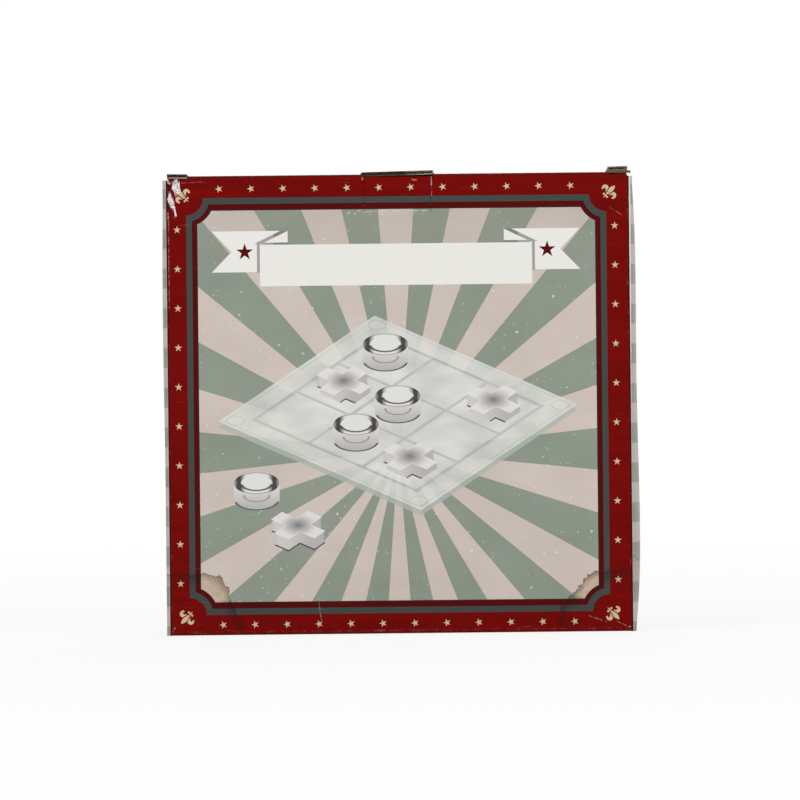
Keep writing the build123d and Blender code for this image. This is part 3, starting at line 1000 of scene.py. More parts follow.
@dataclass(frozen=True)
class FrontPrint(Print):
    """The front: rays in a notched frame, a ribbon, a picture of the game, stars, wear and tears.

    A tear's line has its share of the height, its share of the distance from the middle, and a start. A peel
    has a middle, a half width and height, and a lean. A mark has two ends, a half width and a strength.
    """

    middle: Pair = (-0.9, 133.8)
    ray_middle: Pair = (-1.1, 106.8)
    ribbon_middle: float = -1.2
    low: float = 20.0
    tear_lean: float = 0.014
    tear_top: float = 60.0
    top_shadow_level: float = 267.8

    TEAR_LEFT: ClassVar[Tuple[Point, ...]] = ((0.533, -0.846, 72.0), (0.379, -0.926, 84.6))
    TEAR_RIGHT: ClassVar[Tuple[Point, ...]] = ((0.693, -0.7215, 56.4), (0.0, -1.0, 92.4))
    TEAR_OVER: ClassVar[Point] = (1.0, -0.08, -26.2)
    TEAR_BEYOND: ClassVar[Point] = (-0.665, -0.746, 89.0)
    # the painted shade at the dented upper left corner: middle, half width and height, and lean
    CRUSH_SHADE: ClassVar[Tuple[float, ...]] = (-134.4, 258.0, 3.4, 9.5, 0.0)
    PEELS: ClassVar[Tuple[Tuple[float, ...], ...]] = (
        (-129.2, 262.3, 2.2, 4.3, -0.08), (-132.3, 253.6, 1.4, 4.6, -0.3), (-130.3, 248.3, 0.5, 2.6, -0.1),
        (-133.6, 265.0, 0.3, 0.8, -0.5), (-134.3, 244.2, 0.3, 1.3, 0.0),
    )
    MARKS: ClassVar[Tuple[Tuple[Any, ...], ...]] = (
        ((-48.5, 20.4), (-46.9, 7.5), 0.12, 0.4), ((109.5, 9.3), (119.4, 5.6), 0.1, 0.35),
        ((125.3, 6.1), (133.0, 2.4), 0.1, 0.45), ((133.0, 2.4), (133.7, 2.0), 0.5, 0.95),
        ((124.2, 247.7), (131.2, 243.3), 0.1, 0.22), ((19.9, 267.0), (19.9, 256.0), 0.15, 0.7),
        ((-20.1, 267.0), (-20.3, 265.6), 0.3, 0.6), ((-19.0, 246.9), (19.0, 247.1), 0.3, 0.5),
        ((-17.0, 245.6), (15.0, 245.4), 0.12, 0.35), ((-126.0, 264.6), (-112.0, 265.2), 0.1, 0.15),
        ((9.0, 265.3), (11.0, 265.0), 0.3, 0.45), ((-134.0, 243.0), (-134.0, 190.0), 0.1, 0.3),
        ((-134.3, 2.6), (-132.6, 4.6), 0.12, 0.45), ((-125.6, 0.9), (-124.2, 1.3), 0.3, 0.7),
    )

    def border(self, place: Place, colour: Field) -> Tuple[Field, Field]:
        """Lay the frame's bands and the border's stars.

        Args:
            place: where a point lies.
            colour: the ground inside the frame.

        Returns:
            The colour with the border on it, and the distance from the ground's edge.
        """
        x, y = place.x - self.middle[0], place.z - self.middle[1]
        outer, band, ground = NotchedFrame.place(place.tree, x=x, y=y)
        stars, = BorderStars.place(place.tree, x=x, y=y)
        red = place.noise((60, 60, 5), 3.0).ramp(0.3, 0.7).mix(Ink.BORDER_RED_DARK, Ink.BORDER_RED)
        cream = place.noise(1.2).ramp(0.35, 0.65).mix(Ink.STAR_CREAM, Ink.STAR_PALE)
        red = red.lay(stars, cream).lay(outer.inside(), Ink.BAND_GREY).lay(band.inside(), Ink.DEEP_RED)
        return red.lay((ground - 0.6).inside(), Ink.BAND_LINE).lay(ground.inside(), colour), ground

    def rays(self, place: Place) -> Field:
        """Colour the sage and pink rays, a little blotched.

        Args:
            place: where a point lies.

        Returns:
            The colour.
        """
        x, z = self.ray_middle
        mask, = RayMask.place(place.tree, x=place.x - x, y=place.z - z)
        blots = place.noise((34, 34, 22), 3.0).ramp(0.3, 0.7)
        colour = mask.mix(blots.mix(Ink.PINK, Ink.PINK_PALE), blots.mix(Ink.SAGE, Ink.SAGE_PALE))
        # painted glare: the rays turn greyer towards the top
        return colour.lay(place.z.ramp(205.0, 258.0) * 0.28, Ink.RAY_GLARE_GREY)

    def draw(self, place: Place) -> Coat:
        """Lay the inks in the printer's order, then the wear.

        Args:
            place: where a point lies.

        Returns:
            The coat.
        """
        tree = place.tree
        specks, = place.give(PrintSpecks)
        cloud = place.noise((26, 26, 14)).ramp(0.3, 0.62)
        picture, on_picture = BoardPicture.place(tree, x=place.x, y=place.z, cloud=cloud)
        ribbon, on_ribbon = RibbonPrint.place(tree, x=place.x - self.ribbon_middle, y=place.z)
        ground = self.rays(place).lay(specks * 0.85, Ink.SPECK).lay(on_picture, picture)
        colour, rim = self.border(place, ground.lay(on_ribbon, ribbon))
        colour = self.wear_and_edge_shadow(place, self.tears(place, colour, rim))
        cut = abs(place.face_y).under(0.5) * place.z.over(self.low)
        coat = self.on_board(place, colour, place.face_y.over(0.5), cut, place.x)
        # painted shade on the faces under the bottom fold
        under = place.face_z.under(-0.35) * place.z.under(self.low)
        return replace(coat, colour=coat.colour.lay(under, Ink.SHADOW_LINE))

    @staticmethod
    def blot(place: Place, row: Sequence[float]) -> Field:
        """Measure to a leaning oval on the front.

        Args:
            place: where a point lies.
            row: its middle, its half width and height, and its lean.

        Returns:
            The distance.
        """
        at_x, at_z, wide, tall, lean = row
        up = place.z - at_z
        return reach((place.x - at_x - up * lean) / wide, up / tall) * wide - wide

    def tears(self, place: Place, colour: Field, rim: Field) -> Field:
        """Lay the two torn patches near the lower corners and the peeled strip at the upper left.

        Args:
            place: where a point lies.
            colour: the print so far.
            rim: the distance from the ground's edge.

        Returns:
            The colour with the tears on it.
        """
        across = place.x - self.middle[0]
        side = abs(across) - across * self.tear_lean
        (left, left_low), (right, right_low), (over, far) = (
            [place.z * rise + side * run + start for rise, run, start in rows]
            for rows in (self.TEAR_LEFT, self.TEAR_RIGHT, (self.TEAR_OVER, self.TEAR_BEYOND))
        )
        left, right = left.higher(left_low), right.higher(right_low)
        torn = over.higher(left + (right - left) * across.over(0.0))
        torn = torn + place.sway(3.4, 5) + place.sway(1.2, 2.4, rough=0.6)
        beyond = torn.higher(far)
        low = place.z.under(self.tear_top)
        here = low * rim.under(0.0)
        bare = low * rim.over(0.0).higher(beyond.over(0.0))
        mottled = place.noise(2.6, 4.0)
        paper = (rim + mottled * 5.0).ramp(-2.0, -9.0).mix(Ink.PATCH_LIGHT, Ink.PATCH)
        paper = paper.lay(mottled.ramp(0.4, 0.75) * 0.3, Ink.BURNT).lay(beyond.ramp(-3.5, 0.0) * 0.7, Ink.BURNT)
        coarse = place.sway((1.1, 1.1, 3.2), 6, 6.0, 0.8)
        # painted shade where the upper left corner is dented
        crush_shade = self.blot(place, self.CRUSH_SHADE) + coarse * 0.4
        for mask, above in (
            (torn.inside(0.5) * torn.ramp(-8.0, 0.5) * bare * 0.55, Ink.SHADOW_LINE),
            (beyond.inside(0.4) * here, paper),
            ((abs(torn) - 0.25).inside(0.4) * here * 0.9, Ink.PATCH_RIM),
            # painted shade of the dented corner, in maroon
            (crush_shade.inside(1.2) * 0.65, Ink.MAROON),
        ):
            colour = colour.lay(mask, above)
        flecks = place.noise((0.8, 0.8, 1.3), 4.0, 0.7).ramp(0.53, 0.58)
        for row in self.PEELS:
            peel = (self.blot(place, row) + coarse).inside(0.3)
            colour = colour.lay(peel, Ink.PAPER_WHITE).lay(peel * flecks, Ink.PEEL_FLECK)
        return colour

    @staticmethod
    def mark(place: Place, start: Pair, end: Pair) -> Field:
        """Measure to a straight line on the front.

        Args:
            place: where a point lies.
            start, end: the line's ends, across and up.

        Returns:
            The distance.
        """
        length = math.dist(start, end)
        over, up = (end[0] - start[0]) / length, (end[1] - start[1]) / length
        x, z = place.x - start[0], place.z - start[1]
        along = x * over + z * up
        return abs(x * up - z * over).higher(-along).higher(along - length)

    def wear_and_edge_shadow(self, place: Place, colour: Field) -> Field:
        """Rub the print pale along its folds and the cuts beside the tab.

        Args:
            place: where a point lies.
            colour: the print so far.

        Returns:
            The worn colour.
        """
        away = (CLOSURE_X - abs(place.x)).lower(FRONT_TOP - place.z).lower(place.z + 1.5)
        rub, = place.give(EdgeRub, away=away)
        colour = colour.lay(rub * 0.6, Ink.SCUFF)
        wobble = place.sway(1.2, 1.6, 4.0, 0.7)
        broken = place.noise(2.2, 3.0, 0.6).ramp(0.4, 0.56)
        for start, end, half, strength in self.MARKS:
            worn = (self.mark(place, start, end) - half + wobble).inside(0.5)
            colour = colour.lay(worn * broken * strength, Ink.CREASE_WHITE)
        # painted shadow along the top edge
        colour = colour.lay((self.top_shadow_level - place.z).inside(0.3) * 0.7, Ink.SHADOW_LINE)
        scratch = place.noise((22, 22, 0.9), 3.0, 0.7)
        return colour.lay(scratch.ramp(0.66, 0.74) * 0.15, Ink.SCRATCH)


@dataclass(frozen=True)
class BackPrint(FrontPrint):
    """The back: the same frame and rays with nothing in the middle, less worn."""

    def draw(self, place: Place) -> Coat:
        """Lay the rays and the border, then the bare inside.

        Args:
            place: where a point lies.

        Returns:
            The coat.
        """
        specks, = place.give(PrintSpecks)
        colour, _ = self.border(place, self.rays(place).lay(specks * 0.75, Ink.SPECK))
        cut = abs(place.face_y).under(0.5)
        return self.on_board(place, self.wear_and_edge_shadow(place, colour), place.face_y.under(-0.5), cut, place.x)


@dataclass(frozen=True)
class SidePrint(Print):
    """A side wall: level stripes, with the front's red and a worn white line round the fold."""

    stripe_foot: float = 249.6
    stripe_pitch: float = 23.24
    speck_cell: float = 6.5
    tear_foot: float = 28.5
    tear_step: float = 7.0
    patch_foot: float = 24.4
    worn_from: Pair = (120.0, 225.0)
    joint: Point = (0.25, 19.6, 100.0)
    least_rough: ClassVar[float] = 0.36

    def draw(self, place: Place) -> Coat:
        """Lay the stripes, the folds' colours, the wear and the bare inside.

        Args:
            place: where a point lies.

        Returns:
            The coat.
        """
        on_right = place.x.over(0.0)
        part = ((place.z - self.stripe_foot) / self.stripe_pitch).fraction()
        blots = place.noise((12, 12, 20), 3.0).ramp(0.3, 0.7)
        sage = blots.mix(Ink.STRIPE_SAGE, Ink.STRIPE_SAGE_PALE)
        colour = part.under(0.5).mix(blots.mix(Ink.STRIPE_PINK, Ink.STRIPE_PINK_PALE), sage)
        far, chance = place.cells(self.speck_cell)
        speck = ((far - 0.07) * self.speck_cell).inside(0.4) * chance.over(0.55)
        line = self.tear_foot + on_right * self.tear_step - place.y * 0.35
        torn = place.z - line + place.sway(3.4, 7, 5.0, 0.62)
        paper = torn.inside(0.4) * (place.z + place.y * 0.3).over(self.patch_foot) * on_right
        behind = place.y + OUTER_Y
        ragged = place.sway((1.2, 1.2, 2.6), 1.1, rough=0.7)
        worn = on_right * place.z.ramp(*self.worn_from) * 0.75 + 0.25
        for mask, above in (
            (speck * 0.6, Ink.SPECK),
            # painted shade below the torn edge, fading downwards
            (torn.inside(0.5) * torn.ramp(-24.0, 0.5) * 0.42, Ink.PATCH_RIM),
            (paper * 0.7, Ink.PATCH_SIDE),
            ((abs(torn) - 0.3).inside(0.4) * 0.8, Ink.PATCH_RIM),
            ((behind - 0.55 * worn + ragged * 0.5).inside(0.25), Ink.CREASE_WHITE),
            # the front's red wrapping round the fold, laid dark: print with painted shade
            ((behind - 0.16 + ragged * 0.1).inside(0.08), Ink.MAROON),
        ):
            colour = colour.lay(mask, above)
        facing = place.face_x * (place.x / WALL_X) + place.face_y * (place.y / OUTER_Y)
        flat = abs(place.face_z).over(0.7)
        middle, half, foot = self.joint
        joined = abs(place.y - middle).under(half) * place.z.over(foot)
        return self.on_board(place, colour, facing.under(0.0).higher(flat), flat * (1.0 - joined), place.y)


@dataclass(frozen=True)
class FlapPrint(Print):
    """A printed flap: red outside and rubbed at its folds, bare inside, dark flutes at the cuts."""

    outside: Point = UP
    fold: Point = BACK
    wear: float = 0.6
    rubbed_x: float = 137.0
    least_rough: ClassVar[float] = 0.38

    def draw(self, place: Place) -> Coat:
        """Lay the red, the rubbing, the bare inside and the cut edges.

        Args:
            place: where a point lies.

        Returns:
            The coat.
        """
        rub, = place.give(EdgeRub, away=(OUTER_Y - abs(place.y)).lower(self.rubbed_x - abs(place.x)))
        scratch = place.noise((18, 0.8, 18), 3.0, 0.7).ramp(0.64, 0.74)
        colour = place.noise((60, 8, 60), 3.0).ramp(0.3, 0.7).mix(Ink.FLAP_RED_DARK, Ink.BORDER_RED)
        colour = colour.lay(rub * self.wear, Ink.SCUFF).lay(scratch * 0.35, Ink.SCRATCH_FLAP)
        facing = place.facing(self.outside)
        cut = abs(facing).under(0.5) * place.facing(self.fold).under(0.25)
        return self.on_board(place, colour, facing.under(-0.5), cut, place.x)


@dataclass(frozen=True)
class KraftBoard(Finish):
    """Unprinted corrugated board, with fibres, faint flutes and dark cut edges."""

    specular: float = 0.2
    outside: Point = UP
    fold: Point = (0.0, 0.0, 0.0)

    def draw(self, place: Place) -> Coat:
        """Lay the liner and its cut edges.

        Args:
            place: where a point lies.

        Returns:
            The coat.
        """
        colour, = place.give(BareLiner)
        cut = abs(place.facing(self.outside)).under(0.5) * place.facing(self.fold).under(0.25)
        edge, = place.give(RawEdge, along=place.x + place.y)
        fibres = place.noise((0.3, 0.3, 1.4), 3.0, 0.6)
        relief = fibres * 0.05 + (place.x * RIPPLE).sine() * 0.02
        return Coat(colour.lay(cut, edge), fibres * 0.2 + 0.66, relief)


@dataclass(frozen=True)
class RawPaper(Finish):
    """Torn liner or the fluted paper inside the board."""

    specular: float = 0.2
    light: Ink = Ink.TORN_LINER
    dark: Ink = Ink.KRAFT_DARK

    def draw(self, place: Place) -> Coat:
        """Draw torn paper with fibres, dusty and stained in places.

        Args:
            place: where a point lies.

        Returns:
            The coat.
        """
        fibres, stains = place.give(TornPaper)
        colour = fibres.ramp(0.4, 0.6).mix(self.dark, self.light)
        return Coat(colour.lay(stains.ramp(0.42, 0.7) * 0.7, Ink.LUG_OLIVE), fibres * 0.2 + 0.7, fibres * 0.08)


@dataclass(frozen=True)
class LugPaper(RawPaper):
    """Cut edge of the closure: nearly black at the left and in the middle, torn khaki liner at the right."""

    def draw(self, place: Place) -> Coat:
        """Darken the torn paper towards the left, and leave the left lug's lower liner pale.

        Args:
            place: where a point lies.

        Returns:
            The coat.
        """
        coat = super().draw(place)
        # painted shade over the cut edge, from the left to the middle
        lug_shade = (place.x + place.sway(5.0, 14)).ramp(9.0, 4.0)
        pale = place.x.under(-100.0) * place.z.ramp(267.95, 267.75)
        colour = coat.colour.lay(lug_shade * 0.85, Ink.FLUTE_HOLLOW_SHADE).lay(pale * 0.85, Ink.PEELED_GREY)
        return replace(coat, colour=colour)


@dataclass(frozen=True)
class BeadFoam(Finish):
    """Moulded white foam: pressed beads with fine dark seams between them."""

    specular: float = 0.3
    bead: float = 3.2

    def draw(self, place: Place) -> Coat:
        """Draw the beads.

        Args:
            place: where a point lies.

        Returns:
            The coat.
        """
        edges = place.texture("ShaderNodeTexVoronoi", self.bead)
        edges.feature = "DISTANCE_TO_EDGE"
        seam = Field(place.tree, edges.outputs["Distance"])
        _, shade = place.cells(self.bead)
        colour = shade.mix(Ink.BEAD, Ink.BEAD_PALE).lay(seam.ramp(0.06, 0.0) * 0.5, Ink.BEAD_SEAM)
        grain = place.noise(0.5)
        return Coat(colour, grain * 0.12 + 0.72, seam.ramp(0.0, 0.22) * 0.16 + grain * 0.03, 0.9)


@dataclass(frozen=True)
class Glass(Finish):
    """A finish that light goes through."""

    clear: float = 1.0
    index: float = 1.5
    relief: float = 0.6

    def settle(self, shader: bpy.types.ShaderNode) -> None:
        """Let light through the shader."""
        shader.inputs["Transmission Weight"].default_value = self.clear
        shader.inputs["IOR"].default_value = self.index


@dataclass(frozen=True)
class BoardGlass(Glass):
    """Clear float glass, greenish at the edge, with the grid etched on it."""

    index: float = 1.52
    side: float = 250.0
    middle: float = 135.5
    line: float = 1.1

    def etched(self, place: Place) -> Field:
        """Mask of the etched grid lines and border.

        Args:
            place: where a point lies.

        Returns:
            1 on the lines.
        """
        cell = self.side * 0.8 / 3
        x, z = place.x / cell + 0.5, (place.z - self.middle) / cell + 0.5
        off = (0.5 - abs(x.fraction() - 0.5)).lower(0.5 - abs(z.fraction() - 0.5)) * cell
        area = abs(place.x).higher(abs(place.z - self.middle)) - (cell * 1.5 + self.line)
        return (off - self.line).higher(area).inside(0.3)

    def draw(self, place: Place) -> Coat:
        """Etch the grid, and tint the cut sides.

        Args:
            place: where a point lies.

        Returns:
            The coat.
        """
        grid = self.etched(place)
        _, marks, grain = place.give(GlassSkin)
        colour = abs(place.face_y).under(0.5).mix(Ink.FLOAT_GLASS, Ink.FLOAT_EDGE).lay(grid, Ink.ETCHED)
        rough = grid * 0.5 + marks.ramp(0.5, 0.8) * 0.08 + 0.02
        return Coat(colour, rough, grain * grid * 0.05, self.relief)


@dataclass(frozen=True)
class PieceGlass(Glass):
    """Pressed glass of the playing pieces, clear or satin."""

    tint: Colour = (0.93, 0.97, 0.96, 1.0)
    satin: float = 0.03
    frost: float = 0.0

    def draw(self, place: Place) -> Coat:
        """Vary the gloss with faint handling marks and the tint with the mould's flow.

        Args:
            place: where a point lies.

        Returns:
            The coat.
        """
        flow, marks, grain = place.give(GlassSkin)
        pale = tuple(0.86 + 0.14 * part for part in self.tint)
        colour = flow.ramp(0.35, 0.65).mix(self.tint, pale)
        return Coat(colour, marks.ramp(0.4, 0.8) * 0.12 + self.satin, grain * (0.02 + self.frost), self.relief)


@dataclass(frozen=True)
class SoftFoot(Glass):
    """Clear soft bumper."""

    clear: float = 0.5
    index: float = 1.45

    def draw(self, place: Place) -> Coat:
        """Cloud the resin and give its skin a fine grain.

        Args:
            place: where a point lies.

        Returns:
            The coat.
        """
        colour = place.noise(3).ramp(0.3, 0.7).mix(Ink.FOOT, Ink.FOOT_PALE)
        grain = place.noise(0.6)
        return Coat(colour, grain * 0.15 + 0.3, grain * 0.03, self.relief)


def dress(names: Sequence[str], finish: Finish) -> None:
    """Put one finish on CAD nodes.

    Args:
        names: the nodes.
        finish: the finish.
    """
    material = finish.make()
    for name in names:
        slots = frame["nodes"][name].data.materials
        slots.clear()
        slots.append(material)
        log.info("dressed %s in %s", name, finish.name)


def mode(name: str) -> None:
    """Go to edit mode or to object mode."""
    bpy.ops.object.mode_set(mode=name)


def only(piece: Piece) -> None:
    """Select one piece and nothing else.

    Args:
        piece: the piece.
    """
    bpy.ops.object.select_all(action="DESELECT")
    piece.select_set(True)
    bpy.context.view_layer.objects.active = piece


def pick(piece: Piece, low: float, high: float = math.inf) -> None:
    """Select the points of a piece between two places along the width, in edit mode.

    Args:
        piece: the piece.
        low, high: the two places, in metres.
    """
    bpy.ops.mesh.select_mode(type="VERT")
    bpy.ops.mesh.select_all(action="DESELECT")
    mode("OBJECT")
    for vertex in piece.data.vertices:
        vertex.select = low < vertex.co.x < high
    mode("EDIT")


@dataclass(frozen=True)
class Cut:
    """A cut edge of a board: where its plane lies, the runs of its flutes and the way across the board."""

    facing: Point
    level: float
    runs: Tuple[Run, ...] = ()
    thick: Point = UP


@dataclass(frozen=True)
class Squeeze:
    """A strip of a board that is made narrower or wider, from one side, in millimetres."""

    low: float
    high: float
    about: float
    factor: float


@dataclass(frozen=True)
class Paper:
    """A narrow sheet of paper that is drawn out in steps, and then thickened in its place."""

    name: str
    body: str
    thickness: float
    material: bpy.types.Material

    def draw_out(self, start: Point, deep: float, stretch: float, heights: Sequence[float]) -> Piece:
        """Lay a strip of one step, and draw its right-hand edge out.

        Args:
            start: the edge's front end, in metres.
            deep: the edge's length.
            stretch: the length of a step.
            heights: the edge's height before the first step and after each.

        Returns:
            The sheet, all selected in edit mode.
        """
        bpy.ops.object.select_all(action="DESELECT")
        middle = Vector(start) + Vector((-stretch / 2, deep / 2, 0))
        bpy.ops.mesh.primitive_plane_add(size=1, location=middle)
        sheet = bpy.context.object
        sheet.name = self.name
        bpy.ops.transform.resize(value=(stretch, deep, 1))
        bpy.ops.object.transform_apply(location=True, rotation=True, scale=True)
        only(sheet)
        mode("EDIT")
        pick(sheet, middle.x)
        for low, high in zip(heights, heights[1:]):
            bpy.ops.mesh.extrude_region_move(TRANSFORM_OT_translate={"value": (stretch, 0, high - low)})
        bpy.ops.mesh.select_all(action="SELECT")
        return sheet

    def finish(self, sheet: Piece, turn: Matrix) -> None:
        """Thicken the sheet, bring it to its place and hand it over.

        Args:
            sheet: the sheet, in edit mode.
            turn: its place.
        """
        mode("OBJECT")
        only(sheet)
        thicken = sheet.modifiers.new("paper", "SOLIDIFY")
        thicken.thickness, thicken.offset = self.thickness * MM, 0.0
        bpy.ops.object.modifier_apply(modifier="paper")
        sheet.matrix_world = turn
        bpy.ops.object.transform_apply(location=True, rotation=True, scale=True)
        mode("EDIT")
        bpy.ops.mesh.select_all(action="SELECT")
        bpy.ops.mesh.normals_make_consistent(inside=False)
        mode("OBJECT")
        bpy.ops.object.shade_smooth_by_angle(angle=SMOOTH_ANGLE)
        sheet.data.materials.append(self.material)
        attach(sheet, self.body)
        log.info("laid %s", self.name)


@dataclass
class OpenedBoard:
    """A board of the CAD model whose cut edges are hollowed, so that liners and flutes show."""

    node: str
    body: str
    slot: str
    finish: Finish
    cuts: Tuple[Cut, ...]
    liner_paper: Type[RawPaper] = RawPaper
    squeezes: Tuple[Squeeze, ...] = ()
    liner: float = 0.42
    depth: float = 2.4
    paper_thickness: float = 0.3
    paper_gap: float = 0.05
    paper_front: float = 0.25
    paper_back: float = 0.1
    steps: int = 12
    facing_share: float = 0.95
    level_slack: float = 0.3

    def build(self) -> None:
        """Copy the board, hollow its cut edges and lay the flutes in them."""
        mesh = frame["nodes"][self.node].data.copy()
        board = bpy.data.objects.new(f"{self.node}_board", mesh)
        bpy.context.scene.collection.objects.link(board)
        mesh.materials.clear()
        mesh.materials.append(self.finish.make())
        mesh.materials.append(self.liner_paper(f"{self.node}_liner").make())
        only(board)
        mode("EDIT")
        bpy.ops.mesh.select_all(action="SELECT")
        bpy.ops.mesh.remove_doubles(threshold=WELD)
        for squeeze in self.squeezes:
            pick(board, squeeze.low * MM, squeeze.high * MM)
            bpy.ops.transform.resize(
                value=(squeeze.factor, 1, 1), center_override=(squeeze.about * MM, 0, 0))
        for cut in self.cuts:
            self.hollow(board, cut)
        bpy.ops.mesh.select_all(action="SELECT")
        bpy.ops.mesh.quads_convert_to_tris()
        mode("OBJECT")
        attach(board, self.body)
        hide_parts(self.node)
        log.info("opened the cut edges of %s", self.node)
        runs = [(cut, run) for cut in self.cuts for run in cut.runs]
        if runs:
            # the flutes' paper is coloured dark: painted shade of the hollow it stands in
            material = RawPaper(f"{self.node}_flutes", light=Ink.KRAFT_DARK, dark=Ink.FLUTE_HOLLOW_SHADE).make()
            for number, (cut, run) in enumerate(runs, 1):
                name = f"{self.node}_flutes_{number}"
                self.lay_flutes(Paper(name, self.body, self.paper_thickness, material), cut, run)

    def hollow(self, board: Piece, cut: Cut) -> None:
        """Inset one cut edge by the liner and push its middle in.

        Args:
            board: the board, in edit mode.
            cut: the edge.
        """
        bpy.ops.mesh.select_all(action="DESELECT")
        mode("OBJECT")
        way = Vector(cut.facing)
        for face in board.data.polygons:
            level = face.center.dot(way) / MM
            square_on = face.normal.dot(way) > self.facing_share
            face.select = square_on and abs(level - cut.level) < self.level_slack
        mode("EDIT")
        bpy.ops.mesh.select_mode(type="FACE")
        bpy.ops.mesh.inset(thickness=self.liner * MM, use_boundary=True, use_even_offset=True)
        bpy.ops.mesh.extrude_region_move(TRANSFORM_OT_translate={"value": way * (-self.depth * MM)})
        for _ in range(2):
            bpy.ops.mesh.select_more()
        board.active_material_index = 1
        bpy.ops.object.material_slot_assign()

    def lay_flutes(self, paper: Paper, cut: Cut, run: Run) -> None:
        """Fold one wave of paper, repeat it along a cut edge, and cut it to length.

        Args:
            paper: the paper.
            cut: the edge.
            run: the two ends of the edge's middle line, in millimetres.
        """
        start, end = (Vector(point) * MM for point in run)
        way, along = Vector(cut.facing), (end - start).normalized()
        length, pitch = (end - start).length, FLUTE_PITCH * MM
        swing = (BOARD / 2 - self.liner - self.paper_thickness / 2 - self.paper_gap) * MM
        heights = [math.sin(2 * math.pi * number / self.steps) * swing for number in range(self.steps + 1)]
        deep = (self.depth - self.paper_front - self.paper_back) * MM
        sheet = paper.draw_out((0, self.paper_front * MM, 0), deep, pitch / self.steps, heights)
        bpy.ops.mesh.bisect(plane_co=(0, 0, 0), plane_no=RIGHT, clear_inner=True)
        mode("OBJECT")
        repeat = sheet.modifiers.new("repeat", "ARRAY")
        repeat.use_relative_offset, repeat.use_constant_offset = False, True
        repeat.constant_offset_displace = (pitch, 0, 0)
        repeat.count = math.ceil(length / pitch)
        repeat.use_merge_vertices, repeat.merge_threshold = True, SEAM
        bpy.ops.object.modifier_apply(modifier="repeat")
        mode("EDIT")
        bpy.ops.mesh.select_all(action="SELECT")
        bpy.ops.mesh.bisect(plane_co=(length, 0, 0), plane_no=RIGHT, clear_outer=True)
        turn = Matrix((along, -way, Vector(cut.thick))).transposed().to_4x4()
        paper.finish(sheet, Matrix.Translation(start) @ turn)


@dataclass
class LooseLiner:
    """The strip of torn liner that hangs from a lug of the closure and pokes out over the side wall."""

    start: float = 124.3
    stretch: float = 1.74
    front: float = -22.3
    deep: float = 2.6
    thickness: float = 1.3
    heights: Tuple[float, ...] = (268.65, 268.7, 268.65, 268.75, 268.9, 268.95, 268.8, 268.55)

    def build(self) -> None:
        """Draw a narrow sheet out in uneven steps."""
        material = RawPaper("torn_lug_paper", light=Ink.KRAFT_DARK).make()
        paper = Paper("torn_lug_liner", "closure", self.thickness, material)
        start = (self.start * MM, self.front * MM, self.heights[0] * MM)
        heights = [height * MM for height in self.heights]
        paper.finish(paper.draw_out(start, self.deep * MM, self.stretch * MM, heights), Matrix())


@dataclass
class Carton:
    """The folded and glued walls, with the tab cut from the front."""

    notch_level: float = 267.1
    wall_middle: float = -21.35
    slit_x: float = 122.7
    notch_x: float = 21.3
    tab_x: float = 19.15
    tab_reach: float = 20.0
    tab_widen: float = 1.01
    kerf: Pair = (19.6, 19.9)
    kerf_close: float = 0.99

    def run(self, low: float, high: float, level: float) -> Run:
        """Give a run of flutes along the front's upper edge."""
        return (low, self.wall_middle, level), (high, self.wall_middle, level)

    def build(self) -> None:
        """Print the walls, leave the glued flap bare, and open the front's and the tab's upper edges."""
        front = FrontPrint("front_print")
        near, far = self.kerf
        runs = (self.run(-self.slit_x, -self.notch_x, FRONT_TOP), self.run(self.notch_x, self.slit_x, FRONT_TOP))
        OpenedBoard(
            "front_panel", "carton", "front_print", front, (Cut(UP, FRONT_TOP, runs, BACK),),
            squeezes=tuple(Squeeze(*ends, 0.0, self.kerf_close) for ends in ((-far, -near), (near, far))),
        ).build()
        runs = (self.run(-self.tab_x, self.tab_x, self.notch_level),)
        OpenedBoard(
            "lock_tab", "tab", "front_print", front, (Cut(UP, self.notch_level, runs, BACK),),
            squeezes=(Squeeze(-self.tab_reach, self.tab_reach, 0.0, self.tab_widen),),
        ).build()
        dress(["left_side_panel", "right_side_panel"], SidePrint("side_print"))
        dress(["back_panel"], BackPrint("back_print"))
        dress(["glue_flap"], KraftBoard("glue_flap_board", outside=BACK))


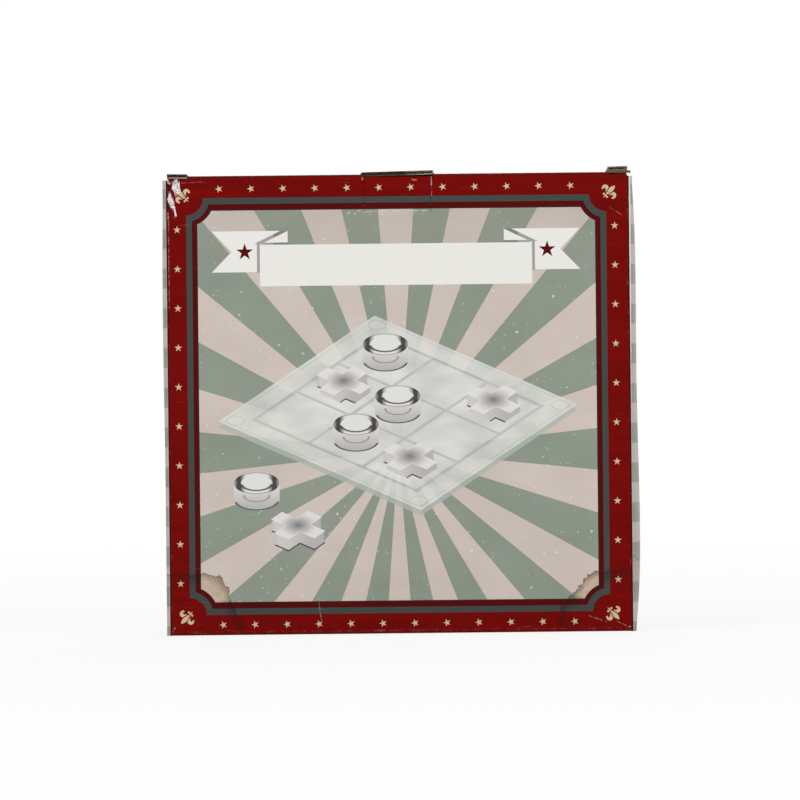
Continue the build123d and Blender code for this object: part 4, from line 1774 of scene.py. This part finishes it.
@dataclass
class Lid:
    """The closure with its tuck, and the two dust flaps under it."""

    lug_base: float = 267.5
    lugs: Tuple[Tuple[float, float, float, float], ...] = (
        (-CLOSURE_X, 1.2, -123.0, 1.0), (-21.0, 1.1, 21.0, 2.0), (123.0, 3.0, CLOSURE_X, 3.3),
    )
    lug_liner: float = 0.62
    run_outs: Tuple[Pair, ...] = ((-123.0, 8.0), (-21.0, -8.0), (21.0, 8.0), (123.0, -8.0))
    run_out_kept: float = 0.15
    slack: float = 0.01
    tuck_foot: float = 252.2
    tuck_half: float = 118.0
    tuck_middle: float = -17.55
    dust_end: float = 97.4
    dust_run: Pair = (-15.0, 2.0)
    dust_middle: float = 265.0

    def build(self) -> None:
        """Print the closure and the tuck, leave the dust flaps bare, and open their cut edges."""
        runs = tuple(
            ((a, -OUTER_Y, self.lug_base + rise_a), (b, -OUTER_Y, self.lug_base + rise_b))
            for a, rise_a, b, rise_b in self.lugs
        )
        squeezes = tuple(
            Squeeze(min(lug, lug + out) - self.slack, max(lug, lug + out) + self.slack, lug, self.run_out_kept)
            for lug, out in self.run_outs
        )
        OpenedBoard(
            "top_closure_panel", "closure", "flap_print", FlapPrint("closure_print"),
            (Cut(FRONT, OUTER_Y, runs), Cut(LEFT, CLOSURE_X), Cut(RIGHT, CLOSURE_X)),
            LugPaper, squeezes, liner=self.lug_liner,
        ).build()
        LooseLiner().build()
        run = tuple((end, self.tuck_middle, self.tuck_foot) for end in (-self.tuck_half, self.tuck_half))
        OpenedBoard(
            "tuck_flap", "tuck", "flap_print", FlapPrint("tuck_print", outside=FRONT, fold=UP),
            (Cut(DOWN, -self.tuck_foot, (run,), BACK),),
        ).build()
        for side, sign, inwards, outwards in (("left", -1, RIGHT, LEFT), ("right", 1, LEFT, RIGHT)):
            run = tuple((sign * self.dust_end, y, self.dust_middle) for y in self.dust_run)
            OpenedBoard(
                f"{side}_dust_flap", f"{side}_dust", "kraft_board",
                KraftBoard(f"{side}_dust_board", fold=outwards), (Cut(inwards, -self.dust_end, (run,)),),
            ).build()


@dataclass
class Base:
    """The four bottom flaps that lock into each other."""

    outer_wear: float = 0.12

    def build(self) -> None:
        """Print the outer flap and leave the others bare."""
        outer = FlapPrint("bottom_print", outside=DOWN, fold=FRONT, wear=self.outer_wear)
        dress(["bottom_front_flap"], outer)
        dress(["bottom_left_flap", "bottom_right_flap", "bottom_back_flap"], KraftBoard("bottom_board"))


@dataclass
class Contents:
    """The foam, the glass board and the playing pieces."""

    frosted: Colour = (0.9, 0.93, 0.93, 1.0)

    def build(self) -> None:
        """Give the foam its beads and the glass its tint."""
        dress(["foam_tray", "front_foam_sheet", "back_foam_sheet"], BeadFoam("bead_foam"))
        dress(["glass_board"], BoardGlass("board_glass"))
        dress([f"board_foot_{n}" for n in range(1, 5)], SoftFoot("soft_feet"))
        dress([f"nought_{n}" for n in range(1, 6)], PieceGlass("clear_glass"))
        frosted = PieceGlass("frosted_glass", tint=self.frosted, satin=0.42, frost=0.05)
        dress([f"cross_{n}" for n in range(1, 5)], frosted)


@dataclass
class Studio:
    """A pale floor, a white surround, soft lamps and the camera."""

    lens: float = 200.0
    eye: Point = (0.0003, -2.62055, 0.1365)
    roll: float = 0.6
    aim: Point = (0, 0, 0.13)
    floor_tone: Colour = (0.86, 0.86, 0.86, 1)
    dim: float = 0.62
    floor_side: float = 60.0
    floor_drop: float = 0.05
    fade: Pair = (450.0, 1800.0)
    least_white: float = 0.8
    lamp_side: float = 1.6
    lamps: Tuple[Tuple[str, Point, float], ...] = (
        ("key_lamp", (-1.5, -1.6, 2.2), 26), ("fill_lamp", (1.9, -1.4, 1.3), 14),
        ("back_lamp", (0.3, 2.2, 1.8), 16),
    )

    @staticmethod
    def shows(tree: Tree) -> Field:
        """Tell the rays that see the background from those that light the object.

        Args:
            tree: the floor's or the world's tree.

        Returns:
            1 for the rays that see it.
        """
        path = tree.nodes.new("ShaderNodeLightPath")
        seen = [Field(tree, path.outputs[f"Is {kind} Ray"]) for kind in ("Camera", "Glossy", "Transmission")]
        return seen[0].higher(seen[1]).higher(seen[2])

    @staticmethod
    def blend(share: Field, below: bpy.types.Node, above: bpy.types.Node) -> bpy.types.Node:
        """Mix two shaders.

        Args:
            share: how much of the upper one shows.
            below, above: the shaders.

        Returns:
            The mix.
        """
        mix = share.tree.nodes.new("ShaderNodeMixShader")
        feed(share.tree, share, mix.inputs[0])
        for shader, socket in zip((below, above), mix.inputs[1:]):
            share.tree.links.new(shader.outputs[0], socket)
        return mix

    def surround(self) -> None:
        """Make the world white where it is seen and softer where it lights."""
        world = bpy.data.worlds.new("studio")
        bpy.context.scene.world = world
        tree = fresh(world)
        lit, shown = (tree.nodes.new("ShaderNodeBackground") for _ in range(2))
        for shader, strength in ((lit, self.dim), (shown, 1.0)):
            shader.inputs[0].default_value = (1, 1, 1, 1)
            shader.inputs[1].default_value = strength
        send(tree, self.blend(self.shows(tree), lit, shown), "ShaderNodeOutputWorld")

    def floor(self) -> None:
        """Lay a wide pale floor that keeps the object's shadow and is white far off."""
        bpy.ops.mesh.primitive_plane_add(size=self.floor_side, location=(0, 0, -self.floor_drop * MM))
        plane = bpy.context.object
        plane.name = "studio_floor"
        material = bpy.data.materials.new("pale_floor")
        tree = fresh(material)
        place = Place.on(tree)
        matt, white, clear, side = (tree.nodes.new(f"ShaderNode{kind}") for kind in (
            "BsdfDiffuse", "Emission", "BsdfTransparent", "NewGeometry"))
        matt.inputs[0].default_value = self.floor_tone
        share = reach(place.x, place.y).ramp(*self.fade) * (1 - self.least_white) + self.least_white
        lit = self.blend(self.shows(tree) * share, matt, white)
        send(tree, self.blend(Field(tree, side.outputs["Backfacing"]), lit, clear))
        plane.data.materials.append(material)

    @staticmethod
    def hang(name: str, data: bpy.types.ID) -> Piece:
        """Put a lamp or a camera in the scene.

        Args:
            name: its name.
            data: the lamp or camera.

        Returns:
            Its object.
        """
        piece = bpy.data.objects.new(name, data)
        bpy.context.scene.collection.objects.link(piece)
        return piece

    def lamp(self, name: str, at: Point, power: float) -> None:
        """Hang one soft square lamp that faces the box.

        Args:
            name: its name.
            at: where it hangs.
            power: its light, in watts.
        """
        light = bpy.data.lights.new(name, "AREA")
        light.size, light.energy = self.lamp_side, power
        lamp = self.hang(name, light)
        lamp.location = at
        lamp.rotation_euler = (Vector(self.aim) - Vector(at)).to_track_quat("-Z", "Y").to_euler()

    def camera(self) -> None:
        """Set the camera square to the front, turned as the photograph is."""
        data = bpy.data.cameras.new("camera")
        data.lens = self.lens
        camera = self.hang("camera", data)
        turn = Matrix.Rotation(math.radians(90), 4, "X") @ Matrix.Rotation(math.radians(-self.roll), 4, "Z")
        camera.matrix_world = Matrix.Translation(self.eye) @ turn
        bpy.context.scene.camera = camera

    def build(self) -> None:
        """Set up the whole studio."""
        self.surround()
        self.floor()
        for lamp in self.lamps:
            self.lamp(*lamp)
        self.camera()
        bpy.context.scene.view_settings.view_transform = "Standard"


def main() -> None:
    """Build the sub-assemblies and the studio, and write the two boxes."""
    logging.basicConfig(level=logging.INFO, format="%(message)s")
    bpy.ops.object.select_all(action="DESELECT")
    for part in (Carton(), Lid(), Base(), Contents()):
        part.build()
    Studio().build()


if __name__ == "__main__":
    main()
